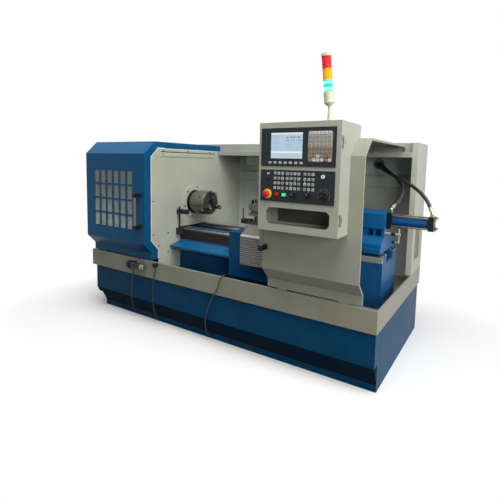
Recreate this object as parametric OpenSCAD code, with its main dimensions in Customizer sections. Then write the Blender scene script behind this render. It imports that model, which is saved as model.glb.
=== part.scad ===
// Flat-bed CNC turning lathe with two sliding guards, control pendant and hydraulic tailstock.
// X runs left to right along the bed, Y front to back, Z up. The origin is the middle of the base on the floor.

/* [Base] */
// Length of the base and chip tray, left to right
base_l = 2910; // [2800:10:3100]
// Depth of the base and chip tray, front to back
base_w = 1400; // [1360:10:1500]
// Height of the lower edge of the grey tray rim
rim_z = 435; // [410:5:460]
// Height of the grey tray rim
rim_h = 158; // [140:2:170]
// Overhang of the rim past the base at front and back
rim_over = 20; // [16:1:26]
// Depth of the toe recess under the front
toe_in = 78; // [40:2:80]

/* [Bed and spindle] */
// Height of the ways above the tray floor
bed_h = 392; // [370:2:410]
// Width of the bed over its ways
bed_w = 400; // [380:4:420]
// Height of the spindle axis above the ways
centre_h = 240; // [230:1:260]
// Distance of the spindle axis behind the front of the base
axis_back = 575; // [560:5:600]
// Diameter of the chuck
chuck_d = 236; // [210:2:240]
// Length of the chuck body
chuck_l = 115; // [100:1:125]
// Diameter of the bore through the spindle
bore_d = 52; // [40:1:56]
// Length of the chuck jaws in front of the chuck face
jaw_l = 65; // [50:1:70]
// Width of a chuck jaw
jaw_w = 30; // [24:1:34]

/* [Enclosure] */
// Height of the enclosure above the floor
body_h = 1700; // [1680:5:1760]
// Distance of the guard fronts in front of the rim
door_out = 70; // [60:2:90]
// Width of the left sliding guard
left_door_w = 832; // [800:2:836]
// Width of the right sliding guard
right_door_w = 713; // [690:2:720]
// Sheet thickness of the guards and panels
sheet = 4; // [3:0.5:5]
// Depth of the folded edge along the sides of a guard
fold = 16; // [12:1:18]
// Columns of slots in the window of the left guard
win_cols = 6; // [4:1:7]
// Rows of slots in the window of the left guard
win_rows = 4; // [3:1:5]
// Length of a guard handle
handle_l = 318; // [260:2:360]
// Stand-off of a guard handle
handle_out = 60; // [45:1:70]

/* [Carriage] */
// Length of the saddle along the bed
saddle_l = 394; // [370:2:400]
// Side of the square tool turret
turret_s = 180; // [160:2:186]
// Side of a square tool shank
shank = 25; // [20:1:25]
// Ribs on the cover of the cross drive
cover_ribs = 14; // [10:1:16]

/* [Tailstock] */
// Length of the tailstock body along the bed
tail_l = 356; // [330:2:370]
// Diameter of the tailstock quill
quill_d = 80; // [70:1:86]
// Length of the hydraulic cylinder tube
tube_l = 250; // [230:5:280]
// Diameter of the hydraulic cylinder tube
tube_d = 74; // [64:1:80]
// Side of the square cylinder end caps
cap_s = 100; // [94:1:106]
// Diameter of the hydraulic hoses
hose_d = 26; // [20:1:30]

/* [Pendant] */
// Width of the control pendant
pend_w = 559; // [540:1:580]
// Height of the control pendant
pend_h = 696; // [680:2:720]
// Depth of the control pendant in front of the guard
pend_d = 170; // [150:2:190]
// Thickness of the hinged pendant front
lid_t = 25; // [20:1:30]
// Diameter of the emergency stop head
estop_d = 44; // [38:1:48]
// Diameter of the feed override dial
dial_d = 60; // [50:1:64]
// Diameter of the signal lamp lenses
lens_d = 60; // [50:1:64]
// Height of one signal lamp lens
lens_h = 70; // [60:1:76]

/* [Hidden] */
$fn = 48;
// Running gap between sliding or turning pieces
run = 0.3;
// Corners of the base
xr = base_l / 2;
xl = -xr;
yf = -base_w / 2;
yb = base_w / 2;
rim_top = rim_z + rim_h;
tray_z = rim_z + 35;
// Inner faces of the rim, where base and walls stand
in_l = xl + 40;
in_r = xr - 10;
in_f = yf + rim_over;
in_b = yb - rim_over;
toe_z = 50;
skirt_z = 200;
plinth_h = 145;
plinth_in = 45;
// Ways of the bed
bed_top = tray_z + bed_h;
ax_y = yf + axis_back;
ax_z = bed_top + centre_h;
bed_f = ax_y - bed_w / 2;
bed_b = ax_y + bed_w / 2;
bed_x0 = xl + 185;
bed_x1 = xr - 85;
wall_t = 110;
vee_h = 19.5;
vee_w = 22;
groove = 20;
vee1_y = bed_f + 30;
vee2_y = bed_b - 88;
flat1_y0 = bed_f + 63;
flat1_y1 = bed_f + wall_t;
flat2_y0 = bed_b - 55;
// Guards
roof_z = body_h - 22;
shelf_z = roof_z - 56;
beam_z = shelf_z - 44;
guard_f = yf - door_out;
guard_b = yf + 1000;
beam_f = guard_b - 50;
riser_f = guard_b + 12;
guard_path = [
    [yf + 15, rim_top + 8],
    [yf + 15, rim_top + 71],
    [guard_f, rim_top + 162],
    [guard_f, roof_z - 114],
    [guard_f + 120, roof_z],
    [guard_b, roof_z],
    [guard_b, shelf_z + run]
];
ld_x0 = xl + 26;
ld_x1 = ld_x0 + left_door_w;
rd_x1 = xr - 107;
rd_x0 = rd_x1 - right_door_w;
inset_d = fold + 8;
// Deep right edge of the left guard, and the set-back of its front
lip_d = roof_z - shelf_z - 2;
lip_back = 12;
win_x0 = ld_x0 + 132;
win_x1 = ld_x1 - 162;
win_z0 = rim_top + 284;
win_z1 = roof_z - 271;
win_bar_x = 27;
win_bar_z = 18;
win_slot_w = (win_x1 - win_x0 - (win_cols - 1) * win_bar_x) / win_cols;
win_slot_h = (win_z1 - win_z0 - (win_rows - 1) * win_bar_z) / win_rows;
handle_z = rim_top + 305;
// Fixed panels
post_x0 = xr - 45;
post_y0 = yf + 975;
panel_x0 = ld_x1 + 2;
panel_x1 = panel_x0 + sheet;
endp_x0 = in_l;
endp_x1 = in_l + sheet;
wall_y0 = in_b - sheet;
// Spindle
bore_r = bore_d / 2;
spin_r = 60;
nose_r = 105;
nose_l = 100;
hs_x0 = bed_x0;
hs_x1 = panel_x0 - 30;
hs_h = centre_h + 230;
chuck_r = chuck_d / 2;
chuck_x0 = panel_x1 + nose_l;
chuck_x1 = chuck_x0 + chuck_l;
slot_d = 34;
jaw_r0 = bore_r + 14;
jaw_r1 = chuck_r - 12;
// Belt drive
pul_x0 = hs_x0 - 100;
pul_x1 = hs_x0 - 20;
pul_r = 110;
mot_y = (bed_b + wall_y0) / 2;
mot_z = ax_z - 300;
mot_r = 140;
mpul_r = 70;
mot_x0 = pul_x1 + 40;
mot_x1 = mot_x0 + 400;
belt_t = 8;
// Ball screw along the bed
scr_y = bed_f - 75;
scr_z = bed_top - 187;
scr_r = 16;
scr_x1 = bed_x1 - 170;
cov_z1 = bed_top - 127;
cov_z0 = cov_z1 - 30;
cov_f = bed_f - 140;
// Saddle and cross slide
sad_x0 = xr - 1330;
sad_x1 = sad_x0 + saddle_l;
sad_f = cov_f - 20;
sad_b = bed_b + 55;
sad_z0 = bed_top + 8;
sad_z1 = bed_top + 63;
apron_t = 20;
apron_z = tray_z + 75;
cs_w = 170;
tur_x = sad_x0 + 200;
tur_y = ax_y - 145;
cs_x0 = tur_x - cs_w / 2;
cs_x1 = tur_x + cs_w / 2;
cs_f = tur_y - 155;
cs_b = bed_b - 15;
cs_z1 = sad_z1 + 55;
key_w = 60;
key_h = 15;
dc_x0 = tur_x - 40;
dc_x1 = sad_x1 - 19;
dc_f = sad_f - 65;
dc_z0 = bed_top - 179;
dc_z1 = bed_top + 53;
rib_p = (dc_z1 - dc_z0 - 8) / cover_ribs;
tb_z1 = ax_z - 46;
th_z0 = tb_z1 + run;
th_z1 = ax_z + 58;
th_slot_z0 = ax_z - shank + 1;
post_r = 22;
// Tailstock
ts_x1 = bed_x1 - 24;
ts_x0 = ts_x1 - tail_l;
tsb_z1 = bed_top + 43;
quill_r = quill_d / 2;
quill_x0 = ts_x0 - 110;
quill_x1 = ts_x1 - 60;
sock_r = 18;
flange_t = 30;
flange_s = cap_s + 20;
tube_x0 = ts_x1 + flange_t + 5;
tube_x1 = tube_x0 + tube_l;
cap_t = 35;
rod_off = cap_s / 2 - 12;
rod_r = 6;
port_x0 = ts_x1 + flange_t / 2 + 2;
port_x1 = tube_x1 + cap_t / 2;
clamp_y = ax_y - 75;
clamp_z = ax_z - 92;
clamp_r = 11;
// Pendant on the right guard
pd_x0 = rd_x0 + 63;
pd_x1 = pd_x0 + pend_w;
pd_b = guard_f;
pd_f = pd_b - pend_d;
pd_z1 = roof_z + 87;
pd_z0 = pd_z1 - pend_h;
box_f = pd_f + lid_t + 0.4;
box_t = 3;
box_b = guard_f + 170;
face_y = pd_f - 6;
hin_x = pd_x1 + 6;
hin_y = pd_f + lid_t;
pan_x0 = pd_x0 + 19;
pan_x1 = pd_x1 - 28;
up_z1 = pd_z1 - 36;
up_z0 = up_z1 - 239;
lo_z1 = up_z0 - 23;
lo_z0 = lo_z1 - 204;
scn_x0 = pan_x0 + 71;
scn_x1 = scn_x0 + 223;
scn_z1 = up_z1 - 30;
scn_z0 = scn_z1 - 160;
poc_x0 = pd_x0 + 62;
poc_x1 = pd_x1 - 56;
poc_z0 = pd_z0 + 46;
poc_z1 = poc_z0 + 108;
ctl_z = lo_z0 + 47;
es_x = pan_x0 + 54;
st_x = pan_x0 + 126;
go_x = pan_x0 + 178;
se_x = pan_x0 + 243;
ke_x = pan_x0 + 342;
di_x = pan_x0 + 445;
es_z = ctl_z;
di_z = ctl_z + 12;
stem_r = 8;
stem_b = pd_f + 15;
// Signal lamp on the pendant
sig_x = pd_x1 - 98;
sig_y = pd_f + 60;
sig_lean = 6.3;
lens_r = lens_d / 2;
sig_foot = 50;
sig_pole = 44;
sig_base = 173;
// Hydraulic hoses from a gland in the rear wall to the cylinder
gland_x = xr - 419;
gland_z = beam_z - 56;
hose_r = hose_d / 2;
gland_r = hose_r + 31;
gland_s = hose_r + 10;
hose_turn = 32;
hose_dip = 19.3;
hose_out = [sin(hose_turn) * cos(hose_dip), -cos(hose_turn) * cos(hose_dip), -sin(hose_dip)];
front_start = [gland_x + gland_s, wall_y0 - 4, gland_z];
rear_start = [gland_x - gland_s, wall_y0 - 4, gland_z];
front_port = [port_x0, ax_y, ax_z + flange_s / 2 + 26];
rear_port = [port_x1, ax_y, ax_z + cap_s / 2 + 26];
front_dir = [0.264, 0.83, 0.49];
rear_dir = [-0.43, 0.25, 0.867];
front_end = front_port + 53 * front_dir;
rear_end = rear_port + 47 * rear_dir;
// Smooth curve from one point and direction to another
function swing(a, u, b, v, n) = [
    for (k = [0 : n])
        let(t = k / n)
        (2 * t - 3) * t * t * (a - b) + a + (t - 1) * (t - 1) * t * u + (t - 1) * t * t * v
];
function hose_route(a, u, pull_a, b, v, pull_b) =
    concat([a], swing(a + 30 * u, pull_a * u, b + 14 * v, -pull_b * v, 20), [b]);
front_route = hose_route(front_start, hose_out, 820, front_end, front_dir, 880);
rear_route = hose_route(rear_start, hose_out, 870, rear_end, rear_dir, 590);
// Leads that hang down the front of the base and enter it in the toe recess
lead_r = 5;
valve_r = 30;
valve_drop = 54;
rim_m = yf + rim_over / 2;
arch_r = 50;
arch_z = rim_top - 32;
toe_hole_z = toe_z - 25;
function toe_entry(x) = [
    [x, in_f - 14, skirt_z - 35],
    [x, in_f + 8, toe_z + 30],
    [x, in_f + 36, toe_z - 6],
    [x, in_f + toe_in + 8, toe_hole_z]
];
lead_a_x = xl + 596;
lead_b_x = xl + 890;
lead_c_x = xl + 1502;
gap_x = xl + 1689;
lead_a = concat([
    [xl + 668, yf - valve_r - 12, rim_top - valve_drop - valve_r - 0.6],
    [xl + 668, yf - valve_r - 12, rim_top - valve_drop - valve_r - 25],
    [xl + 665, yf - 41, rim_z + 20],
    [xl + 650, yf - 36, rim_z - 45],
    [xl + 630, yf - 25, rim_z - 110],
    [xl + 608, yf - 9, rim_z - 195]
], toe_entry(lead_a_x));
lead_b = concat([
    [xl + 934, yf - 18, rim_top - 40.6],
    [xl + 934, yf - 18, rim_top - 64],
    [xl + 932, yf - 18, rim_top - 88],
    [xl + 918, yf - 18, rim_z + 15],
    [xl + 902, yf - 14, rim_z - 70],
    [xl + 893, yf - 6, rim_z - 180]
], toe_entry(lead_b_x));
lead_c = concat([
    [gap_x, rim_m + arch_r, tray_z - 8],
    [gap_x, rim_m + arch_r, tray_z + 45],
    [gap_x, rim_m + arch_r, arch_z],
    [gap_x, rim_m + arch_r * cos(45), arch_z + arch_r * sin(45)],
    [gap_x, rim_m, arch_z + arch_r],
    [gap_x - 3, rim_m - arch_r * cos(45), arch_z + arch_r * sin(45)],
    [gap_x - 12, rim_m - arch_r, arch_z - 5],
    [gap_x - 40, yf - 30, arch_z - 68],
    [gap_x - 86, yf - 18, rim_z - 5],
    [gap_x - 134, yf - 12, rim_z - 95],
    [gap_x - 170, yf - 5, rim_z - 190]
], toe_entry(lead_c_x));

// A box between two corners
module box(x0, x1, y0, y1, z0, z1) {
    translate([x0, y0, z0])
        cube([x1 - x0, y1 - y0, z1 - z0]);
}

// A section drawn in Y and Z, carried along X
module along_x(x0, x1) {
    translate([x0, 0, 0])
        rotate([90, 0, 90])
            linear_extrude(height = x1 - x0)
                children();
}

// A section drawn in X and Z, carried along Y
module along_y(y0, y1) {
    translate([0, y1, 0])
        rotate([90, 0, 0])
            linear_extrude(height = y1 - y0)
                children();
}

// A round bar along X
module bar_x(x0, x1, r, y, z) {
    translate([x0, y, z])
        rotate([0, 90, 0])
            cylinder(h = x1 - x0, r = r);
}

// A round bar along Y
module bar_y(y0, y1, r, x, z) {
    translate([x, y1, z])
        rotate([90, 0, 0])
            cylinder(h = y1 - y0, r = r);
}

// Mitred inset of an open path, to the right of its direction
function unit(v) = v / norm(v);
function side(a, b) = let(u = unit(b - a)) [u[1], -u[0]];
function miter(n, m) = (n + m) / (1 + n * m);
function inset(p, d) = [
    for (i = [0 : len(p) - 1])
        let(n = i == 0 ? side(p[0], p[1]) : side(p[i - 1], p[i]))
        let(m = i == len(p) - 1 ? n : side(p[i], p[i + 1]))
        p[i] + d * miter(n, m)
];
function turned(p) = [for (i = [len(p) - 1 : -1 : 0]) p[i]];

// Section of folded sheet along an open path
module folded(p, t) {
    polygon(concat(p, turned(inset(p, t))));
}

// Points of a smooth curve through a route
function bend(a, b, c, d, t) = 0.5 * (2 * b + (c - a) * t + (2 * a - 5 * b + 4 * c - d) * t * t
    + (3 * b - a - 3 * c + d) * t * t * t);
function route(p, n) = concat([
    for (i = [0 : len(p) - 2])
        for (k = [0 : n - 1])
            bend(p[max(i - 1, 0)], p[i], p[i + 1], p[min(i + 2, len(p) - 1)], k / n)
], [p[len(p) - 1]]);
function along(q, i) = unit(q[min(i + 1, len(q) - 1)] - q[max(i - 1, 0)]);
function across(t) = unit(cross(t, abs(t[2]) > 0.9 ? [0, 1, 0] : [0, 0, 1]));
// Frame carried along a curve without twisting
function carried(q, i) = i == 0 ? across(along(q, 0))
    : let(u = carried(q, i - 1)) let(t = along(q, i)) unit(u - (u * t) * t);

// A round hose or lead swept along a route
module hose(p, r, n, sides) {
    q = route(p, n);
    m = len(q);
    pts = [
        for (i = [0 : m - 1])
            let(t = along(q, i))
            let(u = carried(q, i))
            let(v = cross(t, u))
            for (k = [0 : sides - 1])
                q[i] + r * (cos(360 * k / sides) * u + sin(360 * k / sides) * v)
    ];
    skin = [
        for (i = [0 : m - 2])
            for (k = [0 : sides - 1])
                let(k2 = (k + 1) % sides)
                for (f = [[i * sides + k, (i + 1) * sides + k, (i + 1) * sides + k2],
                    [i * sides + k, (i + 1) * sides + k2, i * sides + k2]])
                    f
    ];
    first = [for (k = [0 : sides - 1]) k];
    last = [for (k = [sides - 1 : -1 : 0]) (m - 1) * sides + k];
    polyhedron(points = pts, faces = concat(skin, [first, last]), convexity = 8);
}

// Welded base with toe recess; its top plate is the floor of the chip tray
module base_cabinet() {
    slope = toe_in / (skirt_z - toe_z);
    color([0.05, 0.18, 0.32])
    difference() {
        union() {
            along_x(in_l + plinth_in, in_r)
                polygon([[in_f, tray_z], [in_f, skirt_z], [in_f + toe_in, toe_z], [in_f + toe_in, 0],
                    [in_b, 0], [in_b, tray_z]]);
            along_x(in_l, in_l + plinth_in)
                polygon([[in_f, tray_z], [in_f, skirt_z], [in_f + slope * (skirt_z - plinth_h), plinth_h],
                    [in_b, plinth_h], [in_b, tray_z]]);
        }
        box(in_r - 2, in_r + 1, in_f + 136, in_f + 140, -1, rim_z - 1);
        for (x = [lead_a_x, lead_b_x, lead_c_x])
            bar_y(in_f + toe_in - 1, in_f + toe_in + 40, lead_r + 6, x, toe_hole_z);
        translate([lead_c[0][0], lead_c[0][1], tray_z - 30])
            cylinder(h = 40, r = lead_r + 0.6);
    }
}

// Grey band folded round the chip tray
module tray_rim() {
    color([0.72, 0.72, 0.68])
    difference() {
        box(xl, xr, yf, yb, rim_z, rim_top);
        box(in_l, in_r, in_f, in_b, rim_z - 1, rim_top + 1);
    }
}

// Cast bed: two walls with ground ways, joined by a floor and cross ribs
module bed() {
    low = bed_top - groove;
    peak = low + vee_h;
    ch0 = bed_f + wall_t;
    ch1 = bed_b - wall_t;
    floor_z = tray_z + 130;
    color([0.1, 0.32, 0.55]) {
        along_x(bed_x0, bed_x1)
            polygon([[bed_f, tray_z], [bed_f, low], [vee1_y - vee_w, low], [vee1_y, peak], [vee1_y + vee_w, low],
                [flat1_y0, low], [flat1_y0, bed_top], [flat1_y1, bed_top], [ch0, floor_z], [ch1, floor_z],
                [ch1, low], [vee2_y - vee_w + 2, low], [vee2_y, peak], [vee2_y + vee_w - 2, low],
                [flat2_y0, low], [flat2_y0, bed_top], [bed_b, bed_top], [bed_b, tray_z]]);
        for (i = [1 : 7])
            translate([bed_x0 + i * (bed_x1 - bed_x0) / 8 - 15, ch0, floor_z])
                cube([30, ch1 - ch0, bed_top - 60 - floor_z]);
        translate([bed_x1 - 30, ch0, floor_z])
            cube([30, ch1 - ch0, bed_top - 66 - floor_z]);
    }
}

// Cast headstock bolted on the left of the bed
module headstock() {
    y0 = ax_y - 215;
    y1 = ax_y + 215;
    z1 = bed_top + hs_h;
    color([0.62, 0.64, 0.6])
    difference() {
        union() {
            along_x(hs_x0, hs_x1)
                polygon([[y0, bed_top], [y0, z1 - 60], [y0 + 60, z1], [y1 - 60, z1], [y1, z1 - 60], [y1, bed_top]]);
            bar_x(hs_x1 - 1, hs_x1 + 12, 130, ax_y, ax_z);
            bar_x(hs_x0 - 12, hs_x0 + 1, 100, ax_y, ax_z);
            bar_y(y0 - 12, y0 + 1, 26, hs_x1 - 175, bed_top + 260);
        }
        bar_x(hs_x0 - 20, hs_x1 + 20, spin_r + 0.5, ax_y, ax_z);
    }
}

// Points of a belt line at a given distance off the two pulleys
function arc(c, r, a0, a1, n) = [for (k = [0 : n]) let(t = a0 + k * (a1 - a0) / n) c + r * [cos(t), sin(t)]];
function belt_line(off) =
    let(o = [ax_y, ax_z])
    let(d = [mot_y, mot_z] - o)
    let(a = atan2(d[1], d[0]))
    let(b = acos((pul_r - mpul_r) / norm(d)))
    concat(arc(o, pul_r + off, a + b, a - b + 360, 20), arc(o + d, mpul_r + off, a - b, a + b, 20));

// Closed belt over the two pulleys
module drive_belt() {
    color([0.06, 0.06, 0.06])
    along_x(pul_x0 + 8, pul_x1 - 8)
    difference() {
        polygon(belt_line(1 + belt_t));
        polygon(belt_line(1));
    }
}

// Main spindle motor on its foot behind the headstock
module main_motor() {
    color([0.3, 0.32, 0.34])
    difference() {
        union() {
            bar_x(mot_x0, mot_x1, mot_r, mot_y, mot_z);
            box(mot_x0 + 50, mot_x1 - 50, mot_y - 110, mot_y + 110, tray_z, mot_z);
            box(mot_x0 + 120, mot_x0 + 260, mot_y - 60, mot_y + 60, mot_z, mot_z + mot_r + 40);
        }
        bar_x(mot_x0 - 1, mot_x0 + 90, 24 + run, mot_y, mot_z);
    }
}

// Inner outline of the left guard's deep edge, at a depth from its sheet
function lip_path(d) = [for (q = inset(guard_path, d)) q + [lip_back, 0]];

// Fixed cross panel inside a guard path, closed by the given rear points
module cross_outline(p, rear) {
    polygon(concat([[p[0][0], tray_z], p[1], p[2], p[3], p[4]], rear));
}

// Grey panel that closes the headstock compartment, with a collar round the chuck
module headstock_panel() {
    color([0.74, 0.74, 0.7])
    difference() {
        union() {
            along_x(panel_x0, panel_x1)
                cross_outline(lip_path(lip_d + 8), [[beam_f, roof_z - lip_d - 8], [beam_f, beam_z], [wall_y0, beam_z],
                    [wall_y0, tray_z]]);
            bar_x(panel_x1 - 1, panel_x1 + 8, 170, ax_y, ax_z);
        }
        bar_x(panel_x0 - 1, panel_x1 + 20, nose_r + 12, ax_y, ax_z);
        box(panel_x0 - 1, panel_x1 + 1, bed_f - 1, bed_b + 1, tray_z - 1, bed_top + 6);
        bar_x(panel_x0 - 1, panel_x1 + 1, scr_r + 6, scr_y, scr_z);
    }
}

// Plain end panel at the left with the bar opening
module left_end_panel() {
    notch_y = guard_b - inset_d;
    color([0.74, 0.74, 0.7])
    difference() {
        along_x(endp_x0, endp_x1)
            cross_outline(inset(guard_path, inset_d), [[notch_y, roof_z - inset_d], [notch_y, shelf_z],
                [riser_f, shelf_z], [riser_f, body_h], [in_b, body_h], [in_b, tray_z]]);
        bar_x(endp_x0 - 1, endp_x1 + 1, 70, ax_y, ax_z);
    }
}

// Rear wall with a folded drip ledge
module rear_wall() {
    color([0.6, 0.62, 0.6])
    difference() {
        union() {
            box(endp_x1, post_x0, wall_y0, in_b, tray_z, beam_z);
            along_x(panel_x1, post_x0)
                polygon([[wall_y0 + 1, beam_z - 195], [wall_y0 - 30, beam_z - 195], [wall_y0 - 30, beam_z - 177],
                    [wall_y0 + 1, beam_z - 150]]);
            along_x(panel_x1, post_x0)
                polygon([[wall_y0 + 1, beam_z - 284], [wall_y0 - 12, beam_z - 284], [wall_y0 - 12, beam_z - 274],
                    [wall_y0 + 1, beam_z - 268]]);
        }
        bar_y(wall_y0 - 31, in_b + 1, gland_r, gland_x, gland_z);
    }
}

// Box beam across the top at the back; the guards run on its shelf
module top_beam() {
    color([0.74, 0.74, 0.7])
    along_x(endp_x1, post_x0)
        polygon([[beam_f, beam_z], [beam_f, shelf_z], [riser_f, shelf_z], [riser_f, body_h],
            [in_b, body_h], [in_b, beam_z]]);
}

// Right end post beside the tailstock opening, with a shallow recess outside
module right_end_panel() {
    color([0.76, 0.76, 0.72])
    difference() {
        box(post_x0, xr, post_y0, yb, rim_top, body_h);
        box(xr - 14, xr + 1, yb - 328, yb - 60, rim_top + 97, rim_top + 407);
    }
}

// Lamp hood hung under the beam
module work_lamp() {
    y = beam_f + 10;
    color([0.8, 0.8, 0.76])
    along_x(sad_x0 - 352, sad_x0 + 285)
        polygon([[y, beam_z], [y + 130, beam_z], [y + 105, beam_z - 95], [y + 25, beam_z - 95]]);
}

// Sloping cover over the ball screw, flanged to the front of the bed
module screw_cover() {
    p = [[cov_f, cov_z0 - 20], [cov_f, cov_z0], [bed_f - sheet, cov_z1], [bed_f - sheet, cov_z1 + 15]];
    color([0.1, 0.4, 0.65])
    along_x(panel_x1, scr_x1)
        folded(p, sheet);
}

// Two end bearings of the ball screw, bolted to the front of the bed
module screw_bearings() {
    color([0.25, 0.26, 0.28])
    for (x = [panel_x0 - 60, scr_x1 - 55])
        difference() {
            box(x, x + 40, scr_y - 32, bed_f, scr_z - 35, scr_z + 30);
            bar_x(x - 1, x + 41, scr_r + run, scr_y, scr_z);
        }
}

// Servo motor that turns the ball screw, on its bracket inside the headstock compartment
module z_servo_motor() {
    x = panel_x0 - 160;
    color([0.1, 0.1, 0.11])
    difference() {
        union() {
            box(x - 150, x, scr_y - 55, scr_y + 55, scr_z - 55, scr_z + 55);
            box(x, x + 14, scr_y - 62, bed_f, scr_z - 62, scr_z + 62);
        }
        bar_x(x - 40, x + 15, 10 + run, scr_y, scr_z);
    }
}

// Rod with a clamp block, on a foot bolted to the front of the bed
module rod_stand() {
    x = panel_x1 + 25;
    y = bed_f - 35;
    color([0.08, 0.08, 0.09]) {
        box(x - 22, x + 22, bed_f - 60, bed_f, bed_top - 62, bed_top);
        translate([x, y, bed_top - 4])
            cylinder(h = 214, r = 7);
        box(x - 20, x + 105, y - 20, y + 20, bed_top + 142, bed_top + 184);
    }
}

// Valve body and cable socket on the front of the rim
module rim_valve() {
    z = rim_top - valve_drop;
    y = yf - valve_r - 12;
    color([0.5, 0.5, 0.5]) {
        bar_x(xl + 645, xl + 790, valve_r, y, z);
        bar_x(xl + 616, xl + 646, valve_r + 8, y, z);
        bar_x(xl + 789, xl + 800, valve_r + 5, y, z);
        bar_x(xl + 799, xl + 824, valve_r - 6, y, z);
        box(xl + 690, xl + 740, y, yf, z - 14, z + 14);
        translate([xl + 700, y, z + valve_r - 4])
            cylinder(h = 18, r = 12);
        bar_y(yf - 34, yf, 20, xl + 934, rim_top - 20);
    }
}

// Electrical leads that run from the rim into the base
module front_leads() {
    color([0.05, 0.05, 0.05]) {
        hose(lead_a, lead_r, 3, 8);
        hose(lead_b, lead_r, 3, 8);
        hose(lead_c, lead_r, 3, 8);
    }
}

// Rubber gland in the rear wall for the two hoses
module hose_gland() {
    color([0.04, 0.04, 0.04])
    difference() {
        union() {
            bar_y(wall_y0 - 14, wall_y0, gland_r + 6, gland_x, gland_z);
            bar_y(wall_y0 - 1, in_b, gland_r - run, gland_x, gland_z);
        }
        for (p = [front_start, rear_start])
            translate(p)
                rotate([90 + hose_dip, 0, hose_turn])
                    translate([0, 0, -6])
                        cylinder(h = 60, r = hose_r + 0.8);
    }
}

// Hollow spindle with its belt pulley and nose
module spindle() {
    color([0.6, 0.61, 0.62])
    difference() {
        union() {
            bar_x(pul_x0 - 25, panel_x0, spin_r, ax_y, ax_z);
            for (i = [0 : 7])
                bar_x(pul_x0 + i * 10, pul_x0 + i * 10 + 7, pul_r, ax_y, ax_z);
            bar_x(pul_x0, pul_x1, pul_r - 5, ax_y, ax_z);
            bar_x(panel_x0 - 14, chuck_x0, nose_r, ax_y, ax_z);
        }
        bar_x(pul_x0 - 30, chuck_x0 + 1, bore_r, ax_y, ax_z);
    }
}

// Place a child drawn for the jaw along +Y at a jaw angle
module at_jaw(i) {
    translate([0, ax_y, ax_z])
        rotate([90 + 120 * i, 0, 0])
            children();
}

// Chuck body with three jaw slots
module chuck_body() {
    color([0.3, 0.3, 0.31])
    difference() {
        union() {
            bar_x(chuck_x0, chuck_x1 - 8, chuck_r, ax_y, ax_z);
            bar_x(chuck_x1 - 9, chuck_x1, chuck_r - 4, ax_y, ax_z);
        }
        bar_x(chuck_x0 - 1, chuck_x1 + 1, bore_r + 3, ax_y, ax_z);
        for (i = [0 : 2])
            at_jaw(i)
                box(chuck_x1 - slot_d, chuck_x1 + 1, 0, chuck_r + 10, -jaw_w / 2 - run, jaw_w / 2 + run);
        for (i = [0 : 2])
            at_jaw(i + 0.5)
                box(chuck_x1 - 70, chuck_x1 - 50, chuck_r - 20, chuck_r + 10, -10, 10);
    }
}

// Stepped jaw that slides in its slot
module jaw() {
    color([0.2, 0.2, 0.21]) {
        box(chuck_x1 - slot_d + run, chuck_x1 + 14, jaw_r0, jaw_r1, -jaw_w / 2, jaw_w / 2);
        box(chuck_x1 + 13, chuck_x1 + jaw_l / 2, jaw_r0 + 8, jaw_r1, -jaw_w / 2, jaw_w / 2);
        box(chuck_x1 + jaw_l / 2 - 1, chuck_x1 + jaw_l, jaw_r0 + 34, jaw_r1, -jaw_w / 2, jaw_w / 2);
    }
}

module chuck_jaw_1() {
    at_jaw(0)
        jaw();
}

module chuck_jaw_2() {
    at_jaw(1)
        jaw();
}

module chuck_jaw_3() {
    at_jaw(2)
        jaw();
}

// Pulley and shaft of the main motor
module motor_pulley() {
    color([0.35, 0.36, 0.37]) {
        bar_x(pul_x0, pul_x1, mpul_r, mot_y, mot_z);
        bar_x(pul_x1 - 1, mot_x0 + 80, 24, mot_y, mot_z);
    }
}

// Ball screw that drives the saddle
module z_ballscrew() {
    color([0.55, 0.55, 0.56]) {
        bar_x(panel_x0 - 140, scr_x1 - 10, scr_r, scr_y, scr_z);
        bar_x(panel_x0 - 190, panel_x0 - 139, 10, scr_y, scr_z);
    }
}

// Cast saddle with apron and nut bracket
module saddle() {
    low = bed_top - groove;
    rise = vee_h / vee_w;
    pad = low + 6;
    apex = low + vee_h + run;
    half = (apex - pad) / rise;
    color([0.06, 0.26, 0.48])
    difference() {
        union() {
            along_x(sad_x0, sad_x1)
                polygon([[sad_f, sad_z1], [sad_f, apron_z], [sad_f + apron_t, apron_z], [sad_f + apron_t, sad_z0],
                    [bed_f + 3, sad_z0], [bed_f + 3, pad], [vee1_y - half, pad], [vee1_y, apex],
                    [vee1_y + half, pad], [flat1_y0 - 6, pad], [flat1_y0 - 6, sad_z0], [flat2_y0 - 2, sad_z0],
                    [flat2_y0 - 2, bed_top + run], [sad_b, bed_top + run], [sad_b, sad_z1]]);
            box(tur_x - key_w / 2, tur_x + key_w / 2, sad_f + 40, sad_b - 20, sad_z1 - 1, sad_z1 + key_h);
            bar_x(tur_x - 60, tur_x + 60, 30, scr_y, scr_z);
            box(tur_x - 60, tur_x + 60, sad_f + 1, scr_y, scr_z - 30, cov_z0 - 25);
        }
        bar_x(tur_x - 61, tur_x + 61, scr_r + run, scr_y, scr_z);
        along_y(sad_f - 1, sad_f + apron_t + 1)
            polygon([[sad_x1 - 30, apron_z - 1], [sad_x1 + 1, apron_z - 1], [sad_x1 + 1, apron_z + 95],
                [sad_x1, apron_z + 95]]);
    }
}

// Cross slide on its key
module cross_slide() {
    color([0.55, 0.55, 0.54])
    difference() {
        box(cs_x0, cs_x1, cs_f, cs_b, sad_z1 + run, cs_z1);
        box(tur_x - key_w / 2 - run, tur_x + key_w / 2 + run, cs_f - 1, cs_b + 1, sad_z1, sad_z1 + key_h + run);
    }
}

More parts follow.
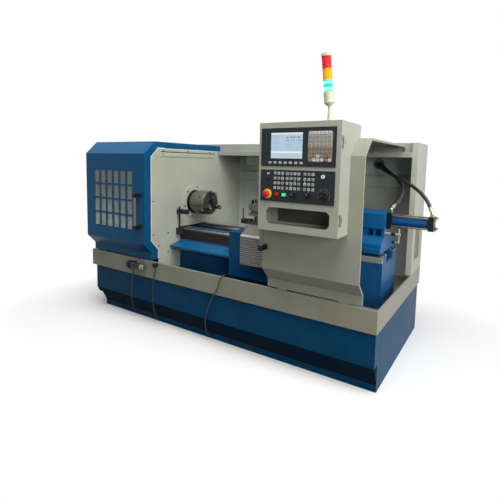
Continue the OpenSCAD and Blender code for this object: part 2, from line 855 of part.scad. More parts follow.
// Base and post of the tool turret
module turret_base() {
    s = turret_s - 30;
    color([0.62, 0.62, 0.6]) {
        box(tur_x - s / 2, tur_x + s / 2, tur_y - s / 2, tur_y + s / 2, cs_z1, cs_z1 + 24);
        translate([tur_x, tur_y, cs_z1 + 23])
            cylinder(h = tb_z1 - cs_z1 - 23, r = s / 2);
        translate([tur_x, tur_y, tb_z1 - 1])
            cylinder(h = th_z1 + 24 - tb_z1, r = post_r);
    }
}

// Ribbed sheet cover of the cross drive, hung from the front of the cross slide
module drive_cover() {
    ribs = [
        for (i = [0 : cover_ribs - 1])
            for (q = [[dc_f + 5, dc_z0 + 4 + i * rib_p], [dc_f, dc_z0 + 4 + (i + 0.35) * rib_p],
                [dc_f, dc_z0 + 4 + (i + 0.75) * rib_p]])
                q
    ];
    front = concat([[dc_f, dc_z0]], ribs, [[dc_f, dc_z1], [dc_f + 10, dc_z1 + 10],
        [cs_f - 2, cs_z1 + 3], [cs_f + 20, cs_z1 + 3]]);
    back = [[cs_f + 20, cs_z1], [cs_f - 1, cs_z1], [dc_f + 12, dc_z1 + 6], [dc_f + 9, dc_z1], [dc_f + 9, dc_z0]];
    cheek = [[dc_f + 1, dc_z0], [dc_f + 6, dc_z1], [dc_f + 11, dc_z1 + 8], [cs_f - 1, cs_z1 + 2], [cs_f - 1, sad_z1 + 2],
        [sad_f - 25, sad_z1 + 2], [sad_f - 25, dc_z0]];
    color([0.66, 0.66, 0.63]) {
        along_x(dc_x0, dc_x1)
            polygon(concat(front, back));
        along_x(dc_x0, dc_x0 + 3)
            polygon(concat([[dc_f + 6, dc_z0], [dc_f + 6, dc_z1]], [for (i = [2 : 6]) cheek[i]]));
        along_x(dc_x1 - 3, dc_x1)
            polygon(concat([[dc_f + 6, dc_z0], [dc_f + 6, dc_z1]], [for (i = [2 : 6]) cheek[i]]));
    }
}

// Coolant block on the cross slide with its upright pipe
module coolant_pipe() {
    y = tur_y - 55;
    x = cs_x0 - 92;
    color([0.07, 0.07, 0.08]) {
        box(x, cs_x0 + 8, y - 22, y + 22, cs_z1, cs_z1 + 42);
        translate([x + 8, y, cs_z1 + 40])
            cylinder(h = 92, r = 5);
    }
}

// Four-way turret head with tool slots and clamp screws
module turret_head() {
    h = turret_s / 2;
    color([0.55, 0.55, 0.55])
    difference() {
        union() {
            box(tur_x - h, tur_x + h, tur_y - h, tur_y + h, th_z0, th_z1);
            for (s = [-1, 1])
                for (k = [-55, 0, 55]) {
                    translate([tur_x + s * (h - 15), tur_y + k, th_z1 - 1])
                        cylinder(h = 32, r = 8);
                    translate([tur_x + k, tur_y + s * (h - 15), th_z1 - 1])
                        cylinder(h = 32, r = 8);
                }
        }
        for (a = [0 : 90 : 270])
            translate([tur_x, tur_y, 0])
                rotate([0, 0, a])
                    box(h - shank - 5, h + 1, -h - 1, h + 1, th_slot_z0, th_slot_z0 + shank);
        translate([tur_x, tur_y, th_z0 - 1])
            cylinder(h = th_z1 - th_z0 + 40, r = post_r + run);
    }
}

// Two turning tools clamped in opposite slots
module turning_tools() {
    color([0.12, 0.12, 0.13])
    for (a = [0, 180])
        translate([tur_x, tur_y, 0])
            rotate([0, 0, a]) {
                x0 = -turret_s / 2 + 5;
                tip = turret_s / 2 + 40;
                translate([0, 0, th_slot_z0])
                    linear_extrude(height = shank)
                        polygon([[x0, -60], [x0 + shank, -60], [x0 + shank, tip - 16], [x0 + 4, tip], [x0, tip - 6]]);
            }
}

// Sole of the tailstock, riding the two inner ways
module tailstock_base() {
    low = bed_top - groove;
    half_w = vee_w - 2;
    rise = vee_h / half_w;
    pad = low + 6;
    apex = low + vee_h + run;
    half = (apex - pad) / rise;
    color([0.08, 0.3, 0.55])
    along_x(ts_x0 - 14, ts_x1)
        polygon([[bed_f + 4, tsb_z1], [bed_f + 4, bed_top + 8], [flat1_y0 - 4, bed_top + 8],
            [flat1_y0 - 4, bed_top + run], [flat1_y1, bed_top + run], [flat1_y1, bed_top + 8],
            [vee2_y - half_w, bed_top + 8], [vee2_y - half_w, pad], [vee2_y - half, pad], [vee2_y, apex],
            [vee2_y + half, pad], [vee2_y + half_w, pad], [vee2_y + half_w, bed_top + 8],
            [bed_b - 4, bed_top + 8], [bed_b - 4, tsb_z1]]);
}

// Cast tailstock body with the quill bore and two clamp pockets
module tailstock_body() {
    color([0.1, 0.37, 0.66])
    difference() {
        along_x(ts_x0, ts_x1)
            polygon([[ax_y - 175, tsb_z1], [ax_y - 175, tsb_z1 + 30], [ax_y - 92, tsb_z1 + 75],
                [ax_y - 92, ax_z - 66], [ax_y - 104, ax_z - 58], [ax_y - 104, ax_z + 51], [ax_y - 92, ax_z + 63],
                [ax_y + 92, ax_z + 63], [ax_y + 104, ax_z + 51], [ax_y + 104, ax_z - 58], [ax_y + 92, ax_z - 66],
                [ax_y + 92, tsb_z1 + 75], [ax_y + 175, tsb_z1 + 30], [ax_y + 175, tsb_z1]]);
        bar_x(ts_x0 - 1, quill_x1 + 20, quill_r + run, ax_y, ax_z);
        bar_x(quill_x1 + 10, ts_x1 + 1, 20, ax_y, ax_z);
        bar_x(ts_x1 - 22, ts_x1 + 1, clamp_r + run, clamp_y, clamp_z);
        for (x = [ts_x1 - 68, ts_x1 - 124])
            box(x, x + 42, ax_y - 110, ax_y - 50, ax_z - 116, ax_z - 68);
    }
}

// Tube of the hydraulic cylinder
module cylinder_tube() {
    color([0.06, 0.27, 0.52])
    difference() {
        bar_x(tube_x0, tube_x1, tube_d / 2, ax_y, ax_z);
        bar_x(tube_x0 - 1, tube_x1 + 1, tube_d / 2 - 6, ax_y, ax_z);
    }
}

// Flange and end cap of the cylinder, drawn together by four tie rods
module cylinder_caps() {
    f = flange_s / 2;
    c = cap_s / 2;
    color([0.08, 0.08, 0.09]) {
        box(ts_x1, ts_x1 + flange_t, ax_y - f, ax_y + f, ax_z - f, ax_z + f);
        box(ts_x1 + flange_t - 1, tube_x0, ax_y - c, ax_y + c, ax_z - c, ax_z + c);
        box(tube_x1, tube_x1 + cap_t, ax_y - c, ax_y + c, ax_z - c, ax_z + c);
        for (s = [-1, 1])
            for (t = [-1, 1]) {
                bar_x(tube_x0 - 1, tube_x1 + cap_t + 20, rod_r, ax_y + s * rod_off, ax_z + t * rod_off);
                translate([tube_x1 + cap_t - 1, ax_y + s * rod_off, ax_z + t * rod_off])
                    rotate([0, 90, 0])
                        cylinder(h = 11, r = 11, $fn = 6);
            }
    }
}

// A fitting from a port on a cap to the end of a hose
module fitting(a, b) {
    v = b - a;
    l = norm(v);
    ang = acos(v[2] / l);
    dir = atan2(v[1], v[0]);
    translate(a - [0, 0, 26])
        cylinder(h = 26, r = 13, $fn = 6);
    translate(a - [0, 0, 4])
        sphere(r = 13);
    translate(a)
        rotate([0, ang, dir]) {
            cylinder(h = l, r = 9);
            translate([0, 0, l - 34])
                cylinder(h = 34, r = 12);
            translate([0, 0, 12])
                cylinder(h = 14, r = 14, $fn = 6);
        }
}

// Steel and brass fittings at the two cylinder ports
module hose_fittings() {
    color([0.7, 0.62, 0.4]) {
        fitting(front_port, front_end - 0.8 * front_dir);
        fitting(rear_port, rear_end - 0.8 * rear_dir);
    }
}

// Tailstock quill with the socket for the centre
module quill() {
    color([0.72, 0.72, 0.73])
    difference() {
        bar_x(quill_x0, quill_x1, quill_r, ax_y, ax_z);
        bar_x(quill_x0 - 1, quill_x0 + 90, sock_r + run, ax_y, ax_z);
    }
}

// Revolving centre
module live_centre() {
    color([0.66, 0.66, 0.67]) {
        bar_x(quill_x0 - 2, quill_x0 + 80, sock_r, ax_y, ax_z);
        bar_x(quill_x0 - 36, quill_x0 - run, 30, ax_y, ax_z);
        translate([quill_x0 - 88, ax_y, ax_z])
            rotate([0, 90, 0])
                cylinder(h = 53, r1 = 1, r2 = 22);
    }
}

// Bent lever that clamps the tailstock
module clamp_lever() {
    x = ts_x1 + 98;
    color([0.78, 0.78, 0.76]) {
        bar_x(ts_x1 - 20, x + 12, clamp_r, clamp_y, clamp_z);
        translate([x, clamp_y, clamp_z - 58])
            cylinder(h = 103, r = 7);
        translate([x, clamp_y, clamp_z - 58])
            sphere(r = 7);
        bar_x(x - 36, x, 7, clamp_y, clamp_z - 58);
        translate([x - 36, clamp_y, clamp_z - 58])
            sphere(r = 12);
    }
}

// Two hydraulic hoses from the rear wall to the cylinder
module hoses() {
    color([0.03, 0.03, 0.03]) {
        hose(front_route, hose_r, 1, 10);
        hose(rear_route, hose_r, 1, 10);
    }
}

// Folded sheet guard between two ends, with glide feet on the rim
module guard(x0, x1) {
    along_x(x0, x1)
        folded(guard_path, sheet);
    along_x(x0, x0 + sheet)
        folded(guard_path, fold);
    along_x(x1 - sheet, x1)
        folded(guard_path, fold);
    for (x = [x0 + 80, x1 - 160])
        box(x, x + 80, yf + 15, yf + 15 + sheet, rim_top + run, rim_top + 9);
}

// Left sliding guard with the slotted window
module left_door() {
    color([0.14, 0.33, 0.51])
    difference() {
        union() {
            guard(ld_x0, ld_x1);
            along_x(ld_x1 - sheet, ld_x1)
                polygon(concat(guard_path, turned(lip_path(lip_d))));
        }
        for (i = [0 : win_cols - 1])
            for (j = [0 : win_rows - 1])
                translate([win_x0 + i * (win_slot_w + win_bar_x), guard_f - 1, win_z0 + j * (win_slot_h + win_bar_z)])
                    cube([win_slot_w, sheet + 2, win_slot_h]);
    }
}

// Clear sheet behind the window slots
module left_door_window() {
    color([0.7, 0.8, 0.82, 0.4])
        box(win_x0 - 20, win_x1 + 20, guard_f + sheet, guard_f + sheet + 4, win_z0 - 20, win_z1 + 20);
}

// Tube handle with its two end brackets
module handle(x) {
    y = guard_f - handle_out;
    color([0.12, 0.12, 0.12]) {
        for (z = [handle_z, handle_z + handle_l - 36])
            box(x - 17, x + 17, y - 18, guard_f, z, z + 36);
        translate([x, y, handle_z + 30])
            cylinder(h = handle_l - 60, r = 13);
    }
}

module left_door_handle() {
    handle(ld_x1 - 56);
}

// Right sliding guard that carries the pendant
module right_door() {
    color([0.75, 0.75, 0.71])
        guard(rd_x0, rd_x1);
}

module right_door_handle() {
    handle(rd_x0 + 26);
}

// Sheet housing of the pendant, seated on the front and roof edge of the right guard
module pendant_box() {
    t = box_t;
    out = [[box_f, pd_z0], [pd_b, pd_z0], [pd_b, roof_z - 114], [guard_f + 120, roof_z], [box_b, roof_z],
        [box_b, pd_z1], [box_f, pd_z1]];
    hole = [[box_f - 1, pd_z0 + t], [pd_b - t, pd_z0 + t], [pd_b - t, roof_z - 113], [guard_f + 118, roof_z + t],
        [box_b - t, roof_z + t], [box_b - t, pd_z1 - t], [box_f - 1, pd_z1 - t]];
    color([0.78, 0.78, 0.74]) {
        difference() {
            along_x(pd_x0, pd_x1)
                polygon(out);
            along_x(pd_x0 + t, pd_x1 - t)
                polygon(hole);
        }
        box(pd_x0 + 1, pd_x1 - 1, box_f + 2, pd_b - 1, poc_z1 + 8, poc_z1 + 11);
        for (z = [pd_z0 + 105, pd_z1 - 125])
            knuckle(z, 1);
    }
}

// Half of a pendant hinge
module knuckle(z, s) {
    if (s > 0) {
        translate([hin_x, hin_y, z - 15])
            cylinder(h = 30, r = 5);
        box(pd_x1 - 1, hin_x, hin_y + 1, hin_y + 26, z - 15, z + 15);
    } else {
        for (d = [-36, 15 + run])
            translate([hin_x, hin_y, z + d])
                cylinder(h = 21 - run, r = 5);
        for (d = [-36, 15 + run])
            box(pd_x1 - 1, hin_x, hin_y - 20, hin_y - 1, z + d, z + d + 21 - run);
    }
}

// Lens or cap of the signal lamp, drawn upright and leaned over
module leaned() {
    translate([sig_x, sig_y, pd_z1])
        rotate([0, -sig_lean, 0])
            children();
}

// Foot, stem and cap of the signal lamp
module beacon_stand() {
    color([0.76, 0.76, 0.64]) {
        box(sig_x - 40, sig_x + 40, sig_y - 25, sig_y + 25, pd_z1, pd_z1 + 5);
        leaned() {
            translate([0, 0, 3])
                cylinder(h = sig_foot - 3, r1 = 20, r2 = 13);
            translate([0, 0, sig_foot - 1])
                cylinder(h = sig_pole + 2, r = 9);
            translate([0, 0, sig_foot + sig_pole])
                cylinder(h = 16, r1 = lens_r - 14, r2 = lens_r);
            translate([0, 0, sig_foot + sig_pole + 15])
                cylinder(h = sig_base - sig_foot - sig_pole - 15, r = lens_r);
            translate([0, 0, sig_base + 3 * lens_h])
                cylinder(h = 16, r = lens_r + 1);
            translate([0, 0, sig_base + 3 * lens_h + 15])
                cylinder(h = 5, r1 = lens_r + 1, r2 = lens_r - 6);
        }
    }
}

// Three stacked lenses
module beacon_lenses() {
    color([0.9, 0.4, 0.2])
    leaned()
        for (i = [0 : 2]) {
            translate([0, 0, sig_base + i * lens_h])
                cylinder(h = lens_h - 4, r = lens_r - 1);
            translate([0, 0, sig_base + (i + 1) * lens_h - 4.5])
                cylinder(h = 4.5, r = lens_r - 4);
        }
}

// Cut out pocket with cut corners, seen from the front
module pocket_shape() {
    c = 20;
    polygon([[poc_x0 + c, poc_z0], [poc_x1 - c, poc_z0], [poc_x1, poc_z0 + c], [poc_x1, poc_z1 - c],
        [poc_x1 - c, poc_z1], [poc_x0 + c, poc_z1], [poc_x0, poc_z1 - c], [poc_x0, poc_z0 + c]]);
}

// Hinged front of the pendant, a folded tray with openings for screen, controls and pocket
module pendant_door() {
    t = box_t;
    color([0.79, 0.79, 0.75])
    difference() {
        union() {
            box(pd_x0, pd_x1, pd_f, hin_y, pd_z0, pd_z1);
            for (z = [pd_z0 + 105, pd_z1 - 125])
                knuckle(z, -1);
        }
        box(pd_x0 + t, pd_x1 - t, pd_f + t, hin_y + 1, pd_z0 + t, pd_z1 - t);
        along_y(pd_f - 1, hin_y + 1)
            pocket_shape();
        control_holes();
    }
}

// Holes for every stem and shaft on the lower panel
module control_holes() {
    for (p = [[es_x, es_z], [st_x, ctl_z], [go_x, ctl_z], [se_x, ctl_z], [ke_x, ctl_z], [di_x, di_z]])
        bar_y(face_y - 20, pd_f + box_t + 1, stem_r + 0.4, p[0], p[1]);
}

// Two dark panels on the pendant front
module control_panels() {
    color([0.2, 0.22, 0.24])
    difference() {
        union() {
            box(pan_x0, pan_x1, face_y, pd_f, up_z0, up_z1);
            box(pan_x0, pan_x1, face_y, pd_f, lo_z0, lo_z1);
        }
        box(scn_x0, scn_x1, face_y - 1, pd_f + 1, scn_z0, scn_z1);
        control_holes();
    }
}

// Display pane set in the upper panel
module screen() {
    color([0.75, 0.82, 0.88])
        box(scn_x0, scn_x1, pd_f - 4, pd_f, scn_z0, scn_z1);
}

// A key on the face of a panel
module key(x, z, w, h) {
    box(x - w / 2, x + w / 2, face_y - 3, face_y, z - h / 2, z + h / 2);
}

// Membrane keys, the collar of the stop button and the lock on the panel faces
module panel_keys() {
    color([0.7, 0.7, 0.68]) {
        for (i = [0 : 6])
            key(scn_x0 - 4 + i * 37, scn_z0 - 27, 20, 14);
        for (i = [0 : 5])
            for (j = [0 : 7])
                key(scn_x1 + 54 + i * 25, scn_z1 - 6 - j * 23, 19, 17);
        for (i = [0 : 9])
            for (j = [0 : 3])
                key(pan_x0 + 108 + i * 27 + floor((i + 1) / 4) * 7 + (i > 6 ? 7 : 0), lo_z1 - 23 - j * 31, 20, 20);
        key(pan_x0 + 58, lo_z1 - 25, 24, 16);
        bar_y(face_y - 3, face_y, 10, pan_x0 + 58, lo_z1 - 62);
        bar_y(face_y - 12, face_y, 14, di_x - 6, lo_z1 - 34);
        difference() {
            bar_y(face_y - 6, face_y, estop_d / 2 + 9, es_x, es_z);
            bar_y(face_y - 7, face_y + 1, stem_r + 0.4, es_x, es_z);
        }
    }
}

// Stem shared by the controls
module stem(x, z, y0) {
    bar_y(y0, stem_b, stem_r, x, z);
}

// Mushroom head of the emergency stop
module estop_button() {
    color([0.8, 0.1, 0.12]) {
        bar_y(face_y - 38, face_y - 14, estop_d / 2, es_x, es_z);
        stem(es_x, es_z, face_y - 15);
    }
}

module push_button(x, z) {
    box(x - 14, x + 14, face_y - 13, face_y - 5, z - 10, z + 10);
    stem(x, z, face_y - 6);
}

// Red push button
module stop_button() {
    color([0.7, 0.06, 0.1])
        push_button(st_x, ctl_z);
}

// Green lit push button
module start_button() {
    color([0.1, 0.8, 0.5])
        push_button(go_x, ctl_z);
}

// A turning knob with a grip bar
module knob(x, z, r, h, a) {
    bar_y(face_y - h, face_y - run, r, x, z);
    translate([x, 0, z])
        rotate([0, a, 0])
            box(-r * 0.9, r * 0.9, face_y - h - 8, face_y - h + 1, -3, 3);
    stem(x, z, face_y - 1);
}

// Mode selector
module selector_knob() {
    color([0.08, 0.08, 0.08])
        knob(se_x, ctl_z, 17, 10, 40);
}

// Key switch
module key_switch() {
    color([0.2, 0.2, 0.2])
        knob(ke_x, ctl_z, 16, 8, 90);
}

// Feed override dial
module feed_dial() {
    color([0.06, 0.06, 0.06])
        knob(di_x, di_z, dial_d / 2, 18, 35);
}

base_cabinet();
tray_rim();
bed();
headstock();
drive_belt();
main_motor();
headstock_panel();
left_end_panel();
rear_wall();
top_beam();
right_end_panel();
work_lamp();
screw_cover();
screw_bearings();
z_servo_motor();
rod_stand();
rim_valve();
front_leads();
hose_gland();
spindle();
chuck_body();
chuck_jaw_1();
chuck_jaw_2();
chuck_jaw_3();
motor_pulley();
z_ballscrew();
saddle();
cross_slide();
turret_base();
drive_cover();
coolant_pipe();
turret_head();
turning_tools();
tailstock_base();
tailstock_body();
cylinder_tube();
cylinder_caps();
hose_fittings();
quill();
live_centre();
clamp_lever();
hoses();
left_door();
left_door_window();
left_door_handle();
right_door();
right_door_handle();
pendant_box();
beacon_stand();
beacon_lenses();
pendant_door();
control_panels();
screen();
panel_keys();
estop_button();
stop_button();
start_button();
selector_knob();
key_switch();
feed_dial();
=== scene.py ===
import math

import bmesh
import bpy
import numpy as np
from mathutils import Matrix, Vector


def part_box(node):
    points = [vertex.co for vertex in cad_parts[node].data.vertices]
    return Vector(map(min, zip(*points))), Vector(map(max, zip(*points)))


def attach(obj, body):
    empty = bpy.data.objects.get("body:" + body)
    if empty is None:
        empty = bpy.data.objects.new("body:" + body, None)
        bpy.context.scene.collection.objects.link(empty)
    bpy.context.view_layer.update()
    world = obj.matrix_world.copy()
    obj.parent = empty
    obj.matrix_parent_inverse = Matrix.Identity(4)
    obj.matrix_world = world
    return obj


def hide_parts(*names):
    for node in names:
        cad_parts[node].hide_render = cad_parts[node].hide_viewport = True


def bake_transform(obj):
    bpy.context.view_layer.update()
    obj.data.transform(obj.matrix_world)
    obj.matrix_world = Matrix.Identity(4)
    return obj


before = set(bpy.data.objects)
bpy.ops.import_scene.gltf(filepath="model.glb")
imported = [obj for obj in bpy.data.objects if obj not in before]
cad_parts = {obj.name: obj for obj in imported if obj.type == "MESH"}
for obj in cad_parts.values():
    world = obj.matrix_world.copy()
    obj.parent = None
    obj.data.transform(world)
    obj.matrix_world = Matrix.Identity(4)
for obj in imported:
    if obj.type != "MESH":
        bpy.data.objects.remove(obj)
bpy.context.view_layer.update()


# Camera
# It stands off the front right corner at about eye height and looks slightly down along the bed.
# The picture is square, so the long edges of base and guards run to the left as they do in the photograph.
yaw, pitch, roll = math.radians(32.6), math.radians(5.7), math.radians(1.3)
forward = Vector((-math.sin(yaw) * math.cos(pitch), math.cos(yaw) * math.cos(pitch), -math.sin(pitch)))
right = forward.cross(Vector((0, 0, 1))).normalized()
upward = right.cross(forward)
across = math.cos(roll) * right + math.sin(roll) * upward
upright = -math.sin(roll) * right + math.cos(roll) * upward
lens = bpy.data.cameras.new("photo_camera")
lens.lens, lens.sensor_width, lens.sensor_fit = 28.116, 36.0, "HORIZONTAL"
lens.shift_x, lens.shift_y = -0.0126, -0.0966
lens.dof.use_dof = False
camera = bpy.data.objects.new("photo_camera", lens)
camera.matrix_world = Matrix((
    (across.x, upright.x, -forward.x, 2.077),
    (across.y, upright.y, -forward.y, -3.121),
    (across.z, upright.z, -forward.z, 1.508),
    (0, 0, 0, 1)))
bpy.context.scene.collection.objects.link(camera)
bpy.context.scene.camera = camera


# Base cabinet
# Welded sheet base with a toe recess, sprayed navy over a light orange peel.
# Its top plate is the floor of the chip tray. Handling leaves dull clouds, and dust lies on what faces up.
def srgb(r, g, b):
    """Linear colour of a display colour given as 0 to 255: the usual power curve with its straight foot."""
    c = np.array((r, g, b)) / 255
    c = np.where(c <= 0.04045, c / 12.92, ((c + 0.055) / 1.055) ** 2.4)
    return (*(float(v) for v in c), 1.0)


def feed(tree, value, socket):
    """Links a socket to an input, or sets the input to a value."""
    if isinstance(value, bpy.types.NodeSocket):
        tree.links.new(value, socket)
    else:
        socket.default_value = value


def put(tree, kind, *inputs, **settings):
    """Adds a shader node; each input in turn is a socket to link, a value to set, or None to leave."""
    made = tree.nodes.new(kind)
    for key, value in settings.items():
        setattr(made, key, value)
    for socket, value in zip(made.inputs, inputs):
        if value is not None:
            feed(tree, value, socket)
    return made


def reckon(tree, operation, *inputs):
    """One step of arithmetic between sockets and numbers."""
    return put(tree, "ShaderNodeMath", *inputs, operation=operation).outputs[0]


def blended(tree, factor, first, second):
    """Colour between first and second by a factor; 0, 6 and 7 are the mix node's sockets for colours."""
    made = put(tree, "ShaderNodeMix", data_type="RGBA")
    for index, value in ((0, factor), (6, first), (7, second)):
        feed(tree, value, made.inputs[index])
    return made.outputs[2]


def spread(tree, value, low, high, to_low, to_high):
    """Value from low to high carried over to to_low to to_high, held at the ends."""
    return put(tree, "ShaderNodeMapRange", value, low, high, to_low, to_high).outputs[0]


def noise(tree, scale, detail, rough=0.5):
    """Cloudy noise over the object coordinates, from 0 to 1."""
    where = put(tree, "ShaderNodeTexCoord").outputs["Object"]
    return put(tree, "ShaderNodeTexNoise", where, None, scale, detail, rough).outputs[0]


def raised(tree, shader, height, strength, distance):
    """Puts a height into the shader's normal."""
    bump = put(tree, "ShaderNodeBump", strength, distance)
    tree.links.new(height, bump.inputs["Height"])
    tree.links.new(bump.outputs["Normal"], shader.inputs["Normal"])


def bare_material(name):
    """New material with its tree and its Principled shader."""
    made = bpy.data.materials.new(name)
    made.use_nodes = True
    return made, made.node_tree, made.node_tree.nodes["Principled BSDF"]


def spot(tree):
    """The object coordinates as X, Y and Z sockets."""
    where = put(tree, "ShaderNodeTexCoord").outputs["Object"]
    return put(tree, "ShaderNodeSeparateXYZ", where).outputs


def between(tree, axis, low, high):
    """Mask that is 1 where the object coordinate on that axis lies between low and high."""
    return reckon(tree, "COMPARE", spot(tree)[axis], (low + high) / 2, (high - low) / 2)


def inside(tree, low, high):
    """Mask that is 1 inside a box given by its lowest and highest corner."""
    masks = [between(tree, axis, a, b) for axis, a, b in zip("XYZ", low, high)]
    return reckon(tree, "MULTIPLY", reckon(tree, "MULTIPLY", masks[0], masks[1]), masks[2])


workshop_wear = tree = bpy.data.node_groups.new("workshop_wear", "ShaderNodeTree")
tree.interface.new_socket("Grain scale", in_out="INPUT", socket_type="NodeSocketFloat")
for label in ("Cloud", "Dust", "Grain", "Edge"):
    tree.interface.new_socket(label, in_out="OUTPUT", socket_type="NodeSocketFloat")
source, result = tree.nodes.new("NodeGroupInput"), tree.nodes.new("NodeGroupOutput")
shape = put(tree, "ShaderNodeNewGeometry").outputs
faces_up = spread(tree, put(tree, "ShaderNodeSeparateXYZ", shape["Normal"]).outputs["Z"], 0.35, 0.95, 0, 1)
on_edge = spread(tree, shape["Pointiness"], 0.53, 0.6, 0, 1)
patches = noise(tree, 14.0, 6.0, 0.65)
for label, mask in (
        ("Cloud", spread(tree, noise(tree, 3.0, 5.0, 0.6), 0.32, 0.68, 0, 1)),
        ("Dust", reckon(tree, "MULTIPLY", faces_up, spread(tree, patches, 0.3, 0.65, 0.25, 1))),
        ("Grain", noise(tree, source.outputs["Grain scale"], 2.0)),
        ("Edge", reckon(tree, "MULTIPLY", on_edge, spread(tree, patches, 0.42, 0.6, 0, 1)))):
    tree.links.new(mask, result.inputs[label])

BARE_EDGE, DUST, GRAIN_HEIGHT = srgb(150, 150, 145), srgb(120, 116, 104), 0.0004


def finish(name, colour, rough, metal=0.0, cloud=0.12, dust=0.12, grain=350.0, lift=0.08, edge=0.0,
           zones=(), gloss=0.16):
    """Clouded colour, dust on what faces up and fine grain; a zone is (mask, colour, rough, metal)."""
    made, tree, shader = bare_material(name)
    wear = put(tree, "ShaderNodeGroup", node_tree=workshop_wear)
    wear.inputs["Grain scale"].default_value = grain
    tone, roughness, metallic = srgb(*colour), rough, metal
    for mask_of, zone_colour, zone_rough, zone_metal in zones:
        mask = mask_of(tree)
        tone = blended(tree, mask, tone, srgb(*zone_colour))
        roughness = spread(tree, mask, 0, 1, roughness, zone_rough)
        if metal != zone_metal or isinstance(metallic, bpy.types.NodeSocket):
            metallic = spread(tree, mask, 0, 1, metallic, zone_metal)
    dark = put(tree, "ShaderNodeHueSaturation", 0.5, 1.0, 1 - cloud, 1.0, tone).outputs[0]
    pale = put(tree, "ShaderNodeHueSaturation", 0.5, 1 - 0.3 * cloud, 1 + cloud, 1.0, tone).outputs[0]
    mixed = blended(tree, wear.outputs["Cloud"], dark, pale)
    if edge:
        mixed = blended(tree, reckon(tree, "MULTIPLY", wear.outputs["Edge"], edge), mixed, BARE_EDGE)
    if dust:
        mixed = blended(tree, reckon(tree, "MULTIPLY", wear.outputs["Dust"], dust), mixed, DUST)
    tree.links.new(mixed, shader.inputs["Base Color"])
    dull = spread(tree, wear.outputs["Cloud"], 0, 1, 0.9, 1.12)
    tree.links.new(reckon(tree, "MULTIPLY", dull, roughness), shader.inputs["Roughness"])
    feed(tree, metallic, shader.inputs["Metallic"])
    shader.inputs["Specular IOR Level"].default_value = gloss
    raised(tree, shader, wear.outputs["Grain"], lift, GRAIN_HEIGHT)
    return made


def dress(node, material, ease, steps=2):
    """Gives a CAD node its finish; its loose triangles are welded and its hard edges eased by a bevel."""
    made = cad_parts[node]
    made.data.materials.clear()
    made.data.materials.append(material)
    if ease:
        weld = made.modifiers.new("weld", "WELD")
        weld.merge_threshold = 2e-5
        bevel = made.modifiers.new("eased", "BEVEL")
        bevel.width, bevel.segments, bevel.limit_method = ease, steps, "ANGLE"
        bevel.angle_limit = math.radians(38)
        bevel.use_clamp_overlap = True
        level = made.modifiers.new("level", "WEIGHTED_NORMAL")
        level.keep_sharp = False
        level.weight = 60


def toe_recess_shade(tree):
    """Set-back band along the foot, painted darker as the shade that falls on it, and left dull."""
    return inside(tree, (-1.5, -0.6795, 0.051), (1.5, -0.6025, 0.1985))


def tray_end(tree):
    """Tray floor beside the tailstock, with a grey sheet over it."""
    return inside(tree, (0.72, -0.69, 0.466), (1.45, 0.69, 0.475))


# The band along the foot is painted darker, as the shade in the toe recess.
dress("base_cabinet", finish("base_navy", (3, 64, 99), 0.4, dust=0.1, lift=0.1, gloss=0.05, zones=(
    (toe_recess_shade, (5, 28, 44), 0.75, 0.0), (tray_end, (112, 114, 104), 0.5, 0.0))), 0.003)


# Chip tray rim
# A band of folded sheet round the tray, sprayed light grey, with its top edge turned out and dust along it.
# A valve with a black cap and a cable socket are screwed to its front.
VALVE_CAP, VALVE_NUT, CABLE_SOCKET = (-0.90, -0.8085), (-0.6665, -0.60), (-0.60, -0.40)
# The rim's grey is the pendant's paint made darker, as painted shade for its front under the guards.
dress("tray_rim", finish("rim_grey", (140, 140, 124), 0.42, dust=0.25, cloud=0.1), 0.002)
dress("rim_valve", finish("valve_grey", (40, 41, 42), 0.4, 0.3, cloud=0.15, zones=(
    (lambda tree: between(tree, "X", *VALVE_CAP), (16, 16, 17), 0.45, 0.0),
    (lambda tree: between(tree, "X", *VALVE_NUT), (150, 150, 146), 0.3, 0.9),
    (lambda tree: between(tree, "X", *CABLE_SOCKET), (20, 20, 21), 0.5, 0.0))), 0.0008)


# Leads at the front
# Three thin leads in plastic sheaths hang down the front of the base.
# One comes out of the valve, one out of the cable socket, and one over the rim out of the tray.
# All three run into the base through holes in the toe recess.
def sheet_faces(rows, cols):
    """Quads of a grid of rows by cols points, closed round each row, and each corner's row and column."""
    r, c = np.meshgrid(np.arange(rows - 1), np.arange(cols), indexing="ij")
    corner = np.stack([np.stack([r, c], -1), np.stack([r, c + 1], -1),
                       np.stack([r + 1, c + 1], -1), np.stack([r + 1, c], -1)], 2).reshape(-1, 4, 2)
    return corner[..., 0] * cols + corner[..., 1] % cols, corner


def piece(name, body, points, faces, material, corners=None, tint=None, smooth=40):
    """Mesh object at the origin that rides on a body; corners become its UV map, tint a colour per point."""
    mesh = bpy.data.meshes.new(name)
    mesh.from_pydata(np.asarray(points).tolist(), [], [list(map(int, f)) for f in faces])
    if corners is not None:
        mesh.uv_layers.new(name="UVMap").data.foreach_set("uv", np.asarray(corners, dtype=float).ravel())
    if tint is not None:
        mesh.color_attributes.new("tint", "FLOAT_COLOR", "POINT").data.foreach_set(
            "color", np.asarray(tint, dtype=float).ravel())
    work = bmesh.new()
    work.from_mesh(mesh)
    bmesh.ops.remove_doubles(work, verts=work.verts, dist=1e-6)
    bmesh.ops.recalc_face_normals(work, faces=work.faces)
    work.to_mesh(mesh)
    work.free()
    mesh.polygons.foreach_set("use_smooth", np.ones(len(mesh.polygons), dtype=bool))
    mesh.set_sharp_from_angle(angle=math.radians(smooth))
    mesh.materials.append(material)
    made = bpy.data.objects.new(name, mesh)
    bpy.context.scene.collection.objects.link(made)
    if body:
        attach(made, body)
    return made


